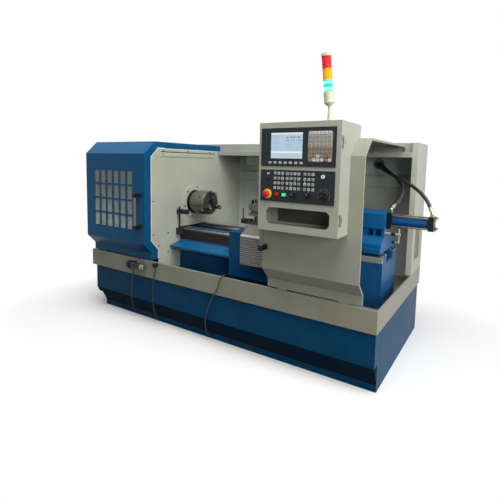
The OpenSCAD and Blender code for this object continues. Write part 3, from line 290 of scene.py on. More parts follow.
def tube(name, body, line, radius, sides, side_of, material):
    """Round tube: point (i, a) = line[i] + radius (cos a s[i] + sin a n[i]), where s is square to the line
    and to side_of, and n to s and the line."""
    along = np.gradient(line, axis=0)
    along /= np.linalg.norm(along, axis=1, keepdims=True)
    s = np.cross(along, side_of)
    s /= np.linalg.norm(s, axis=1, keepdims=True)
    n = np.cross(s, along)
    a = np.linspace(0, 2 * np.pi, sides, endpoint=False)[None, :, None]
    points = line[:, None] + radius * (np.cos(a) * s[:, None] + np.sin(a) * n[:, None])
    faces, corner = sheet_faces(len(line), sides)
    run = np.concatenate([[0], np.cumsum(np.linalg.norm(np.diff(line, axis=0), axis=1))])
    uv = np.stack([corner[..., 1] / sides, run[corner[..., 0]]], -1).reshape(-1, 2)
    ends = [range(sides), range((len(line) - 1) * sides, len(line) * sides)]
    uv = np.concatenate([uv, np.zeros((2 * sides, 2))])
    return piece(name, body, points.reshape(-1, 3), list(faces) + ends, material, uv), float(run[-1])


def smooth_line(points, n):
    """Catmull-Rom curve through the points, n steps to a span: a cubic whose slope at each point is half
    the chord between its neighbours."""
    p = np.array(points, dtype=float)
    p = np.concatenate([[2 * p[0] - p[1]], p, [2 * p[-1] - p[-2]]])
    a, b, c, d = (p[i:len(p) - 3 + i, None] for i in range(4))
    t = np.linspace(0, 1, n, endpoint=False)[None, :, None]
    run = b + 0.5 * t * (c - a + t * (2 * a - 5 * b + 4 * c - d + t * (3 * (b - c) + d - a)))
    return np.concatenate([run.reshape(-1, 3), p[-2:-1]])


lead_sheath, tree, shader = bare_material("lead_sheath")
speck = noise(tree, 60.0, 3.0)
tree.links.new(blended(tree, spread(tree, speck, 0.35, 0.7, 0, 1), srgb(12, 13, 15), srgb(34, 35, 37)),
               shader.inputs["Base Color"])
tree.links.new(spread(tree, speck, 0.3, 0.7, 0.4, 0.6), shader.inputs["Roughness"])

LEAD_R = 0.005
for name, last, points in (
        ("lead_left", -0.859, ((-0.787, -0.742, 0.5084), (-0.787, -0.742, 0.484), (-0.790, -0.741, 0.455),
                               (-0.805, -0.736, 0.390), (-0.825, -0.725, 0.325), (-0.847, -0.709, 0.240))),
        ("lead_middle", -0.565, ((-0.521, -0.718, 0.5524), (-0.521, -0.718, 0.529), (-0.523, -0.718, 0.505),
                                 (-0.537, -0.718, 0.450), (-0.553, -0.714, 0.365), (-0.562, -0.706, 0.255))),
        ("lead_right", 0.047, ((0.234, -0.640, 0.462), (0.234, -0.640, 0.515), (0.234, -0.640, 0.561),
                               (0.234, -0.6546, 0.5964), (0.234, -0.690, 0.611), (0.231, -0.7254, 0.5964),
                               (0.222, -0.740, 0.556), (0.194, -0.730, 0.493), (0.148, -0.718, 0.430),
                               (0.100, -0.712, 0.340), (0.064, -0.705, 0.245)))):
    toe = ((last, -0.694, 0.165), (last, -0.672, 0.080), (last, -0.644, 0.044), (last, -0.594, 0.025))
    line = smooth_line(points + toe, 6)
    lead, length = tube(name, "machine", line, LEAD_R, 12, (1, 0, 0), lead_sheath)
    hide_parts("front_leads")


# Bed
# One casting with two vee ways and two flat ways; its sides are painted and only the ways are ground bright.
# Oil and coolant have browned the bare face below the front way.
def ground(tree):
    """Ground tops of the ways."""
    return between(tree, "Z", 0.8485, 0.9)


def browned(tree):
    """Bare machined face under the front way, as far as the tailstock's end."""
    return inside(tree, (-1.3, -0.40, 0.745), (0.72, -0.314, 0.849))


def way_side(tree):
    """Bright side of the front way under the tailstock."""
    return inside(tree, (0.72, -0.40, 0.806), (1.40, -0.314, 0.849))


dress("bed", finish("bed_casting", (4, 74, 120), 0.4, cloud=0.2, dust=0.1, grain=160, lift=0.12, zones=(
    (browned, (40, 37, 33), 0.45, 0.1), (way_side, (178, 177, 166), 0.36, 0.6),
    (ground, (116, 116, 108), 0.36, 0.9))), 0.0015)


# Headstock and its drive
# Cast housing, sprayed blue, that is bolted to the bed behind the grey panel and carries the spindle.
# Beside it are the spindle motor with its rubber belt, and the bearings and servo motor of the ball screw.
casting_blue = finish("casting_blue", (2, 86, 141), 0.32, cloud=0.1, dust=0.04, grain=140, lift=0.12,
                      gloss=0.12)
casting_grey = finish("casting_grey", (120, 124, 120), 0.5, cloud=0.15, grain=140, lift=0.15)
black_metal = finish("black_metal", (24, 24, 26), 0.4, cloud=0.25, dust=0.12, grain=500, edge=0.3)
dress("headstock", casting_blue, 0.003)
dress("main_motor", casting_grey, 0.002)
dress("drive_belt", finish("belt_rubber", (26, 26, 27), 0.65, cloud=0.2, grain=700, lift=0.2), 0)
dress("screw_bearings", casting_grey, 0.001)
dress("z_servo_motor", black_metal, 0.0015)


# Fixed enclosure
# Folded sheet panels sprayed light grey: round the chuck, at both ends, the rear wall and the box beam above.
# Small socket screws hold the headstock panel, the joint strips along its top and the collar round the chuck.
def turned(name, body, material, places, axis, profile, sides, flutes=0, depth=0.0, tint=None):
    """Turned pieces, one at each place, with (r, h) along the profile from foot to tip:
    point (h, a) = place + h axis + r (1 - depth (1 + cos(flutes a)) / 2) u(a), u(a) going round the axis."""
    places = np.atleast_2d(np.array(places, dtype=float))
    axis = np.array(axis, dtype=float) / np.linalg.norm(axis)
    s = np.cross(axis, (0.0, 0.0, 1.0) if abs(axis[2]) < 0.7 else (1.0, 0.0, 0.0))
    s /= np.linalg.norm(s)
    r, h = np.array(profile, dtype=float).T
    a = np.linspace(0, 2 * np.pi, sides, endpoint=False)[None, :, None]
    swell = r[:, None, None] * (1 - depth * (1 + np.cos(flutes * a)) / 2)
    ring = swell * (np.cos(a) * s + np.sin(a) * np.cross(axis, s)) + h[:, None, None] * axis
    points = (places[:, None, None] + ring).reshape(-1, 3)
    faces, corner = sheet_faces(len(r), sides)
    step = np.arange(len(places))[:, None, None] * len(r) * sides
    uv = np.stack([corner[..., 1] / sides, corner[..., 0] / (len(r) - 1)], -1).reshape(-1, 2)
    shade = None if tint is None else np.repeat(np.array(tint, dtype=float), len(r) * sides, axis=0)
    return piece(name, body, points, (step + faces).reshape(-1, 4), material,
                 np.tile(uv, (len(places), 1)), shade)


CAP_SIDES = 20


def caps(name, body, material, centres, half, proud, across, out, corner=0.35, tint=None):
    """Low caps with rounded corners, one at each centre: the outline is half size x (cos a, sin a), each to
    the power corner, stacked in rings from foot to face; a ring is pulled in by a share of the smaller half
    size and stands at a share of the height."""
    centres = np.atleast_2d(np.array(centres, dtype=float))
    n = len(centres)
    half = np.broadcast_to(np.array(half, dtype=float), (n, 2))
    proud = np.broadcast_to(np.array(proud, dtype=float), (n,))
    across = np.broadcast_to(np.array(across, dtype=float), (n, 3))
    out = np.broadcast_to(np.array(out, dtype=float), (n, 3))
    a = (np.arange(CAP_SIDES) + 0.5) * 2 * np.pi / CAP_SIDES
    rim = np.stack([np.cos(a), np.sin(a)], -1)
    rim = np.sign(rim) * np.abs(rim) ** corner
    pull = np.array((1.0, 0.0, 0.0, 0.10, 0.28, 1.0))
    rise = np.array((0.0, 0.0, 0.75, 0.96, 1.0, 0.98))
    size = half[:, None] - pull[None, :, None] * half.min(1)[:, None, None]
    size[:, (0, -1)] = 0
    flat = size[:, :, None] * rim
    points = (centres[:, None, None] + flat[..., :1] * across[:, None, None]
              + flat[..., 1:] * np.cross(out, across)[:, None, None]
              + (proud[:, None] * rise)[:, :, None, None] * out[:, None, None]).reshape(-1, 3)
    faces, place = sheet_faces(len(rise), CAP_SIDES)
    share = 0.5 + 0.5 * flat / half[:, None, None]
    uv = share[:, place[..., 0], place[..., 1] % CAP_SIDES].reshape(-1, 2)
    each = len(rise) * CAP_SIDES
    faces = (np.arange(n)[:, None, None] * each + faces).reshape(-1, 4)
    shade = None if tint is None else np.repeat(np.array(tint, dtype=float), each, axis=0)
    return piece(name, body, points, faces, material, uv, shade, 35)


def folded_edge(outline, across):
    """Edge strip: the section across (offset from the outline towards outside, x) carried along the outline
    with mitred corners, each point moved along the mean of its normals over the cosine of half the turn."""
    p = np.array(outline, dtype=float)
    run = np.diff(p, axis=0) / np.linalg.norm(np.diff(p, axis=0), axis=1, keepdims=True)
    normal = np.stack([-run[:, 1], run[:, 0]], -1)
    first, last = np.concatenate([normal[:1], normal]), np.concatenate([normal, normal[-1:]])
    mitre = (first + last) / (1 + (first * last).sum(1, keepdims=True))
    section = np.array(across, dtype=float)
    yz = p[:, None] + section[None, :, :1] * mitre[:, None]
    return np.concatenate([np.broadcast_to(section[None, :, 1:], yz.shape[:2] + (1,)), yz], -1)


def end_recess_shade(tree):
    """Pressed field low in the right end panel, painted darker as the shade inside it."""
    return inside(tree, (1.43, 0.375, 0.693), (1.4545, 0.637, 0.997))


panel_grey = finish("panel_grey", (174, 176, 161), 0.42, cloud=0.07, dust=0.12)
dress("headstock_panel", panel_grey, 0.001)
dress("left_end_panel", panel_grey, 0.001)
# The rear wall's grey is the panels' paint made lighter, as painted light inside the enclosure.
dress("rear_wall", finish("wall_grey_lit", (198, 203, 193), 0.48, cloud=0.1, dust=0.15), 0.002)
dress("top_beam", finish("beam_grey", (152, 155, 145), 0.42, cloud=0.08, dust=0.15), 0.002)
dress("right_end_panel", finish("end_grey", (170, 172, 158), 0.42, cloud=0.08, dust=0.15, zones=(
    (end_recess_shade, (112, 113, 103), 0.5, 0.0),)), 0.002)
dress("work_lamp", finish("lamp_hood", (104, 106, 98), 0.5, cloud=0.1, dust=0.2), 0.0015)

PANEL_X, STRIP_Y, STRIP_HALF = -0.591, -0.195, 0.385
caps("joint_strips", "machine", panel_grey,
     ((PANEL_X, STRIP_Y, 1.6030), (PANEL_X, STRIP_Y, 1.5640)), ((STRIP_HALF, 0.0110), (STRIP_HALF, 0.0200)),
     (0.003, 0.006), (0, 1, 0), (1, 0, 0), 0.06)
# A thin black strip fills the gap between the joint strips, as painted shade in the gap.
caps("joint_gap_shade", "machine", black_metal, (PANEL_X, STRIP_Y, 1.5880), (STRIP_HALF, 0.0038),
     0.0006, (0, 1, 0), (1, 0, 0), 0.06)
panel_outline = ((-0.611, 0.606), (-0.611, 0.6884), (-0.696, 0.7794), (-0.696, 1.5373), (-0.6132, 1.616),
                 (0.235, 1.616))
edge_section = ((-0.004, -0.595), (0.0045, -0.595), (0.0045, -0.5905), (0.0038, -0.5893),
                (-0.0032, -0.5893), (-0.004, -0.5905))
edge_points = folded_edge(panel_outline, edge_section).reshape(-1, 3)
edge_faces = list(sheet_faces(len(panel_outline), len(edge_section))[0])
edge_ends = [range(len(edge_section)), range(len(edge_points) - len(edge_section), len(edge_points))]
# The folded edge is painted lighter than the panel, as a highlight along the fold.
piece("panel_edge", "machine", edge_points, edge_faces + edge_ends,
      finish("edge_grey_highlight", (206, 207, 196), 0.4, cloud=0.05, dust=0.05), smooth=30)

dark_steel = finish("dark_steel", (70, 70, 68), 0.42, 0.8, cloud=0.15, grain=500)
AXIS_Y, AXIS_Z, COLLAR_R = -0.125, 1.102, 0.150
SCREW = np.array(((0, 0), (1, 0), (1, 0.55), (0.86, 0.7), (0.48, 0.7), (0.42, 0.25), (0, 0.2)))
strip_screws = [(PANEL_X + 0.0028, y, z) for y in (-0.555, -0.225, 0.110) for z in (1.603, 1.566)]
edge_screws = [(PANEL_X - 0.0002, y, z) for y, z in (
    (-0.678, 1.14), (-0.672, 0.83), (-0.49, 0.83), (-0.61, 0.72), (-0.49, 0.65), (-0.25, 0.62))]
turned("panel_screws", "machine", dark_steel, strip_screws + edge_screws, (1, 0, 0),
       SCREW * 0.0065, 12)
ring = np.radians(np.arange(6) * 60 + 15)
on_collar = [np.full(6, -0.5832), AXIS_Y + COLLAR_R * np.sin(ring), AXIS_Z + COLLAR_R * np.cos(ring)]
turned("collar_screws", "machine", dark_steel, np.stack(on_collar, -1), (1, 0, 0),
       SCREW * 0.008, 12)


# Ball screw and its cover
# The rolled screw turns behind the front of the bed under a sloping sheet cover, painted bright blue.
# The indicator stand next to the chuck is blacked steel, and the hose gland in the rear wall is rubber.
def gland_mouth(tree):
    """Oval round both hoses: squared distances over squared half sizes add up to less than one."""
    at = spot(tree)
    off = [reckon(tree, "DIVIDE", reckon(tree, "SUBTRACT", at[axis], middle), half)
           for axis, middle, half in (("X", 1.036, 0.040), ("Z", 1.522, 0.019))]
    squares = [reckon(tree, "POWER", distance, 2.0) for distance in off]
    return reckon(tree, "LESS_THAN", reckon(tree, "ADD", *squares), 1.0)


def thread_groove_shade(tree):
    """Dark run of the thread, painted darker as the shade in its groove: the first three tenths of each 10 mm
    of length.
    """
    turns = reckon(tree, "MULTIPLY", spot(tree)["X"], 100.0)
    return reckon(tree, "LESS_THAN", reckon(tree, "FRACT", turns), 0.3)


dress("screw_cover", finish("cover_blue", (10, 91, 135), 0.34, cloud=0.1, dust=0.04), 0.002)
dress("z_ballscrew", finish("screw_steel", (150, 150, 146), 0.3, 1.0, cloud=0.1, zones=(
    (thread_groove_shade, (70, 68, 62), 0.5, 0.8),)), 0)
dress("rod_stand", black_metal, 0.0008)
dress("hose_gland", finish("gland_rubber", (122, 126, 118), 0.5, cloud=0.12, zones=(
    (gland_mouth, (24, 24, 25), 0.6, 0.0),)), 0.001)


# Spindle and chuck
# Hollow steel spindle with a three-jaw power chuck: a turned body, and hardened black jaws on serrations.
# Each jaw is held to its master by two socket screws sunk in its steps.
NOSE, NOSE_ROOT, CHUCK_FACE = (-0.60, -0.40), (-0.60, -0.556), (-0.3785, -0.37)


def turning_marks(tree):
    """Fine rings that the turning tool leaves: a sine that repeats every 4 mm along X, from 0 to a half."""
    wave = reckon(tree, "SINE", reckon(tree, "MULTIPLY", spot(tree)["X"], 1570.0))
    return reckon(tree, "MULTIPLY_ADD", wave, 0.25, 0.25)


dress("spindle", finish("spindle_steel", (150, 150, 145), 0.3, 1.0, cloud=0.1, zones=(
    (lambda tree: between(tree, "X", *NOSE), (122, 120, 113), 0.32, 0.85),
    (lambda tree: between(tree, "X", *NOSE_ROOT), (30, 30, 29), 0.45, 0.4))), 0.0005)
dress("motor_pulley", dark_steel, 0.0005)
dress("chuck_body", finish("chuck_steel", (134, 133, 125), 0.28, 0.85, cloud=0.18, grain=700, zones=(
    (turning_marks, (92, 91, 86), 0.34, 0.85),
    (lambda tree: between(tree, "X", *CHUCK_FACE), (84, 84, 80), 0.42, 0.7))), 0.0012)
bright_steel = finish("bright_steel", (196, 196, 190), 0.26, 1.0, cloud=0.08, dust=0.04, grain=900, lift=0.05)
jaw_black = finish("jaw_black", (50, 50, 49), 0.34, 0.4, cloud=0.25, grain=600, edge=0.6)
for number in range(3):
    turn = math.radians(90 + 120 * number)
    reach = np.array((0.0, math.cos(turn), math.sin(turn)))
    dress(f"chuck_jaw_{number + 1}", jaw_black, 0.0012)
    turned(f"jaw_screws_{number + 1}", f"jaw_{number + 1}", bright_steel,
           [np.array((x, AXIS_Y, AXIS_Z)) + r * reach for x, r in ((-0.3437, 0.061), (-0.3112, 0.090))],
           (1, 0, 0), SCREW * 0.0075, 14)
MARK_X, MARK_R = -0.398, 0.1178
turn = math.radians(122)
outward = np.array((0, -math.sin(turn), math.cos(turn)))
caps("jaw_mark", "spindle_assembly", finish("mark_yellow", (216, 198, 44), 0.5, cloud=0.12),
     np.array((MARK_X, AXIS_Y, AXIS_Z)) + MARK_R * outward, (0.011, 0.014), 0.0006, (1, 0, 0), outward)


# Carriage, cross slide and turret
# Cast saddle painted blue that runs on the ways, with a ground cross slide and a four-way steel turret on it.
# Black screws clamp the tools, and a grey sheet cover with pressed ribs hangs in front of the cross drive.
RIB_Y, FOLD_FOOT, FOLD_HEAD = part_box("drive_cover")[0][1], 0.911, 0.9255
CLAMP_SCREWS = (1.1605, 1.3)


def rib_groove_shade(tree):
    """Sunk runs between the ribs, behind their crests, painted darker as the shade in them."""
    return inside(tree, (0.2, RIB_Y + 0.0012, 0.685), (0.8, RIB_Y + 0.0085, 0.909))


saddle_blue = finish("saddle_blue", (2, 69, 111), 0.36, dust=0.04, grain=140, lift=0.12, gloss=0.1)
dress("saddle", saddle_blue, 0.002)
dress("cross_slide", finish("slide_grey", (128, 130, 124), 0.4, 0.4, cloud=0.15, grain=300), 0.0015)
dress("turret_base", dark_steel, 0.001)
dress("drive_cover", finish("ribbed_cover", (150, 151, 144), 0.36, cloud=0.1, dust=0.05, zones=(
    (rib_groove_shade, (112, 112, 106), 0.6, 0.0),
    # Above the fold the cover is painted darker, as shade on its slope, and the fold band lighter, as a
    # painted highlight along the bend.
    (lambda tree: between(tree, "Z", FOLD_HEAD, 1.0), (112, 113, 107), 0.4, 0.0),
    (lambda tree: between(tree, "Z", FOLD_FOOT, FOLD_HEAD), (192, 192, 185), 0.36, 0.0))), 0)
dress("coolant_pipe", black_metal, 0.0008)
dress("turret_head", finish("turret_steel", (92, 92, 88), 0.42, 0.6, cloud=0.15, grain=700, zones=(
    (lambda tree: between(tree, "Z", *CLAMP_SCREWS), (18, 18, 19), 0.4, 0.3),)), 0.0008)
dress("turning_tools", dark_steel, 0.0006)


# Tailstock
# Blue casting clamped on the bed, with a ground quill, a revolving centre and a hydraulic cylinder behind it.
# The cylinder's barrel is blue between black end caps, held together by four bright rods with nuts.
ROD_OFF, ROD_REACH, LEVER_KNOB = 0.038, 0.0115, (1.39, 1.421)


def tie_rods(tree):
    """Where both distances from the cylinder's axis are those of the rods, between and behind the caps."""
    at = spot(tree)
    off = [reckon(tree, "ABSOLUTE", reckon(tree, "SUBTRACT", at[axis], middle))
           for axis, middle in (("Y", AXIS_Y), ("Z", AXIS_Z))]
    near = [reckon(tree, "COMPARE", distance, ROD_OFF, ROD_REACH) for distance in off]
    bare = [between(tree, "X", low, high) for low, high in ((1.3812, 1.6308), (1.6663, 1.80))]
    return reckon(tree, "MULTIPLY", reckon(tree, "MULTIPLY", *near), reckon(tree, "MAXIMUM", *bare))


dress("tailstock_base", casting_blue, 0.002)
dress("tailstock_body", casting_blue, 0.003)
dress("quill", bright_steel, 0.0005)
dress("live_centre", bright_steel, 0.0005)
dress("clamp_lever", finish("lever_white", (158, 158, 152), 0.36, 0.2, cloud=0.08, zones=(
    (lambda tree: between(tree, "X", *LEVER_KNOB), (22, 22, 23), 0.4, 0.0),)), 0.0006)
dress("cylinder_tube", finish("barrel_blue", (6, 78, 132), 0.3, cloud=0.12, dust=0.08), 0.0005)
dress("cylinder_caps", finish("cap_black", (22, 23, 26), 0.4, cloud=0.2, dust=0.12, grain=400, zones=(
    (tie_rods, (122, 118, 106), 0.34, 1.0),)), 0.0008)
dress("hose_fittings", finish("fitting_zinc", (182, 176, 150), 0.3, 1.0, cloud=0.15, grain=600), 0.0004)


# Hydraulic hoses
# Two rubber hoses with a braided cover bring pressure from the gland in the rear wall to the cylinder.
# Each leaves the gland straight, hangs in one open bend, and is pressed into its fitting at the far end.
def swing(a, u, b, v, n):
    """Cubic between a and b that leaves along u and arrives along v, as n + 1 points."""
    t = np.linspace(0, 1, n + 1)[:, None]
    return (2 * t - 3) * t * t * (a - b) + a + (t - 1) ** 2 * t * u + (t - 1) * t * t * v


def unrolled(tree):
    """The piece's own UV map as X and Y sockets."""
    return put(tree, "ShaderNodeSeparateXYZ", put(tree, "ShaderNodeTexCoord").outputs["UV"]).outputs


hose_rubber, tree, shader = bare_material("hose_rubber")
uv = unrolled(tree)
round_turn = reckon(tree, "MULTIPLY", uv["X"], 18 * math.pi)
strands = [reckon(tree, "SINE", reckon(tree, "MULTIPLY_ADD", uv["Y"], lay, round_turn))
           for lay in (900.0, -900.0)]
weave = reckon(tree, "MAXIMUM", *strands)
cover = blended(tree, spread(tree, weave, -0.4, 1, 0, 1), srgb(10, 10, 12), srgb(40, 39, 42))
lay_line = reckon(tree, "COMPARE", uv["X"], 0.82, 0.025)
tree.links.new(blended(tree, lay_line, cover, srgb(128, 44, 40)), shader.inputs["Base Color"])
tree.links.new(spread(tree, weave, -1, 1, 0.6, 0.42), shader.inputs["Roughness"])
raised(tree, shader, weave, 0.4, 0.0008)

HOSE_R, GLAND_RUN, PORT_RUN = 0.013, 0.03, 0.014
aside, dip = math.radians(32), math.radians(19.3)
hose_out = np.array((math.sin(aside) * math.cos(dip), -math.cos(aside) * math.cos(dip), -math.sin(dip)))
for name, start, port, port_out, reach, pull_a, pull_b in (
        ("hose_front", (1.059, 0.672, 1.522), (1.363, -0.125, 1.188), (0.264, 0.83, 0.49),
         0.053, 0.82, 0.88),
        ("hose_rear", (1.013, 0.672, 1.522), (1.6485, -0.125, 1.178), (-0.43, 0.25, 0.867),
         0.047, 0.87, 0.59)):
    start, port_out = np.array(start), np.array(port_out) / np.linalg.norm(port_out)
    end = np.array(port) + reach * port_out
    bend = swing(start + GLAND_RUN * hose_out, pull_a * hose_out, end + PORT_RUN * port_out,
                 -pull_b * port_out, 56)
    line = np.concatenate([start + np.linspace(0, GLAND_RUN, 4)[:-1, None] * hose_out, bend,
                           end + np.linspace(PORT_RUN, 0, 3)[1:, None] * port_out])
    hose, length = tube(name, None, line, HOSE_R, 20, (0, 0, 1), hose_rubber)
    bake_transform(hose)
    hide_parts("hoses")


# Sliding guards
# Each guard is one folded sheet that slides on the rim and the beam: the left one blue with a slotted window.
# The handles are satin tubes between black moulded brackets.
def handle_tube(tree):
    """The tube between the two brackets."""
    return between(tree, "Z", 0.9345, 1.1795)


dress("left_door", finish("guard_blue", (4, 79, 121), 0.36, cloud=0.07, dust=0.04, gloss=0.1), 0.0015)
# The right guard's grey is the pendant's paint made darker, as painted shade for its front.
dress("right_door", finish("guard_grey_shaded", (147, 148, 133), 0.42, cloud=0.08, dust=0.15), 0.0015)
window_sheet, tree, shader = bare_material("window_sheet")
film = noise(tree, 9.0, 5.0, 0.6)
# The sheet's colour is painted lighter towards its foot, as the light of the inside seen through it.
low = spread(tree, spot(tree)["Z"], 0.98, 1.24, 1.0, 0.0)
behind = blended(tree, low, srgb(122, 126, 108), srgb(186, 189, 176))
tree.links.new(blended(tree, spread(tree, film, 0.35, 0.7, 0, 0.6), behind, srgb(84, 90, 78)),
               shader.inputs["Base Color"])
tree.links.new(spread(tree, film, 0.3, 0.7, 0.12, 0.3), shader.inputs["Roughness"])
shader.inputs["Transmission Weight"].default_value = 0.25
dress("left_door_window", window_sheet, 0)
handle_finish = finish("handle_finish", (20, 20, 22), 0.45, cloud=0.15, grain=900, zones=(
    (handle_tube, (100, 100, 95), 0.36, 0.4),))
dress("left_door_handle", handle_finish, 0.003, 3)
dress("right_door_handle", handle_finish, 0.003, 3)


# Control pendant
# Sheet box fixed to the right guard, sprayed light grey, with a pocket under the panels.
# Its front swings on two steel hinges at the right side and carries two dark panels.
def hinge_steel(tree):
    """The hinge leaves and knuckles that stand proud of the right side."""
    return between(tree, "X", 1.2574, 1.30)


def pocket_shade(tree):
    """Inside of the pocket under the panels, painted darker as the shade within it."""
    return inside(tree, (0.755, -0.94, 1.11), (1.206, -0.70, 1.228))


pendant_grey, hinge_zone = (164, 166, 152), (hinge_steel, (128, 128, 122), 0.36, 0.9)
dress("pendant_box", finish("pendant_box_grey", pendant_grey, 0.4, cloud=0.06, dust=0.1, zones=(
    (pocket_shade, (80, 81, 75), 0.5, 0.0), hinge_zone)), 0.0025, 3)
dress("pendant_door", finish("pendant_front_grey", pendant_grey, 0.4, cloud=0.06, dust=0.1, zones=(
    hinge_zone,)), 0.002, 3)
dress("control_panels", finish("panel_dark", (38, 42, 45), 0.4, cloud=0.1, grain=1500, lift=0.1), 0.0008)


# Screen
# Flat display behind glass, let into the upper panel and lit from behind.
# It shows a plain page: pale bars at head and foot, columns of small marks and a block of larger ones.
picture, tree, shader = bare_material("screen_picture")


def written(cell_x, cell_z, share, left, right, foot, head):
    """Made-up marks in a field of the page: grid cells that a white noise picks, mid-height in each line."""
    where = put(tree, "ShaderNodeTexCoord").outputs["Object"]
    snapped = put(tree, "ShaderNodeVectorMath", where, (cell_x, 1.0, cell_z), operation="SNAP").outputs[0]
    drawn = reckon(tree, "LESS_THAN", put(tree, "ShaderNodeTexWhiteNoise", snapped).outputs[0], share)
    up_line = reckon(tree, "FRACT", reckon(tree, "DIVIDE", spot(tree)["Z"], cell_z))
    marks = reckon(tree, "MULTIPLY", drawn, reckon(tree, "COMPARE", up_line, 0.5, 0.28))
    return reckon(tree, "MULTIPLY", marks, inside(tree, (left, -1, foot), (right, 0, head)))


tone = srgb(172, 198, 216)
for mask, colour in (
        (between(tree, "Z", 1.538, 1.5735), srgb(186, 204, 216)),
        (between(tree, "Z", 1.5735, 1.5825), srgb(232, 238, 240)),
        (between(tree, "Z", 1.6885, 1.70), srgb(220, 230, 236)),
        (written(0.0022, 0.0074, 0.5, 0.796, 0.846, 1.589, 1.684), srgb(148, 174, 194)),
        (written(0.0022, 0.0074, 0.4, 0.892, 1.004, 1.589, 1.642), srgb(150, 174, 194)),
        (written(0.0048, 0.021, 0.62, 0.896, 1.004, 1.6485, 1.682), srgb(118, 138, 156)),
        (written(0.0022, 0.0074, 0.35, 0.796, 1.004, 1.543, 1.570), srgb(158, 178, 192))):
    tone = blended(tree, mask, tone, colour)
shader.inputs["Base Color"].default_value = (0.02, 0.02, 0.025, 1)
shader.inputs["Roughness"].default_value = 0.12
tree.links.new(tone, shader.inputs["Emission Color"])
shader.inputs["Emission Strength"].default_value = 0.95
dress("screen", picture, 0.0005)


# Keys
# Moulded rubber caps over a sealed membrane: a row under the screen, and the entry keys on a plate beside it.
# The operator's keys fill the lower panel, and four of them have a small green lamp.
FACE_Y, OUT, ACROSS = -0.946, (0, -1, 0), (1, 0, 0)
BROWN_HALF, DARK_FIELD = (1.50, 1.6115), ((1.1525, -1, 1.520), (1.1775, 0, 1.566))
key_rubber, tree, shader = bare_material("key_rubber")
uv = unrolled(tree)
tint = put(tree, "ShaderNodeAttribute", attribute_name="tint").outputs
speck = noise(tree, 900.0, 2.0)
bars = [reckon(tree, "MULTIPLY", reckon(tree, "COMPARE", uv["X"], 0.5, wide),
               reckon(tree, "COMPARE", uv["Y"], level, 0.07)) for wide, level in ((0.22, 0.62), (0.13, 0.38))]
mark = reckon(tree, "MULTIPLY", reckon(tree, "MAXIMUM", *bars), tint["Alpha"])
worn = blended(tree, spread(tree, speck, 0.3, 0.7, 0.0, 0.3), tint["Color"], srgb(128, 126, 120))
tree.links.new(blended(tree, mark, worn, srgb(52, 52, 54)), shader.inputs["Base Color"])
tree.links.new(spread(tree, speck, 0.3, 0.7, 0.45, 0.6), shader.inputs["Roughness"])
raised(tree, shader, speck, 0.08, 0.0002)

soft = np.stack([0.784 + 0.037 * np.arange(7), np.full(7, FACE_Y), np.full(7, 1.512)], -1)
column, row = (grid.ravel() for grid in np.meshgrid(np.arange(6), np.arange(8)))
entry = np.stack([1.065 + 0.025 * column, np.full(48, FACE_Y - 0.001), 1.693 - 0.023 * row], -1)
lower_tint = np.where(row[:, None] < 4, srgb(158, 157, 150), srgb(134, 121, 103))
entry_tint = np.where(row[:, None] < 1, srgb(214, 213, 206), lower_tint)
pale = ((row == 6) & (column == 2)) | ((row == 7) & np.isin(column, (1, 2, 3, 5)))
entry_tint = np.where(pale[:, None], srgb(222, 221, 214), entry_tint)
operator_x = np.array((0.825, 0.852, 0.879, 0.913, 0.940, 0.967, 0.994, 1.035, 1.062, 1.089))
operator_z = 1.444 - 0.031 * np.arange(4)
column, row = (grid.ravel() for grid in np.meshgrid(np.arange(10), np.arange(4)))
operate = np.stack([operator_x[column], np.full(40, FACE_Y), operator_z[row]], -1)
operate_tint = np.array([srgb(v, v, v - 6) for v in 150 + 34 * ((column * 7 + row * 5) % 4) / 3])
counts = (len(soft), len(entry), len(operate))
keys = caps("membrane_keys", "pendant_front", key_rubber, np.concatenate([soft, entry, operate]),
            np.repeat(((0.010, 0.007), (0.0095, 0.0085), (0.0092, 0.0092)), counts, axis=0),
            np.repeat((0.003, 0.002, 0.003), counts), ACROSS, OUT, 0.4,
            np.concatenate([np.tile(srgb(200, 199, 194), (len(soft), 1)), entry_tint, operate_tint]))
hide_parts("panel_keys")
caps("entry_plate", "pendant_front",
     finish("entry_plate", (158, 156, 148), 0.5, cloud=0.08, grain=1200, zones=(
         (lambda tree: between(tree, "Z", *BROWN_HALF), (128, 116, 99), 0.5, 0.0),
         (lambda tree: inside(tree, *DARK_FIELD), (44, 48, 52), 0.4, 0.0))),
     (1.1275, FACE_Y, 1.6125), (0.0785, 0.0925), 0.001, ACROSS, OUT, 0.12)

lit_green, tree, shader = bare_material("lit_green")
off = [reckon(tree, "POWER", reckon(tree, "SUBTRACT", axis, 0.5), 2.0) for axis in unrolled(tree)[:2]]
bright = reckon(tree, "LESS_THAN", reckon(tree, "ADD", *off), 0.05)
tree.links.new(blended(tree, bright, srgb(0, 214, 128), srgb(96, 255, 206)), shader.inputs["Emission Color"])
shader.inputs["Base Color"].default_value = srgb(10, 150, 90)
shader.inputs["Emission Strength"].default_value = 0.9
caps("key_lamps", "pendant_front", lit_green,
     [(operator_x[c], FACE_Y, operator_z[r] + 0.0135) for c, r in ((0, 0), (5, 2), (4, 3), (7, 2))],
     (0.003, 0.0022), 0.0024, ACROSS, OUT)


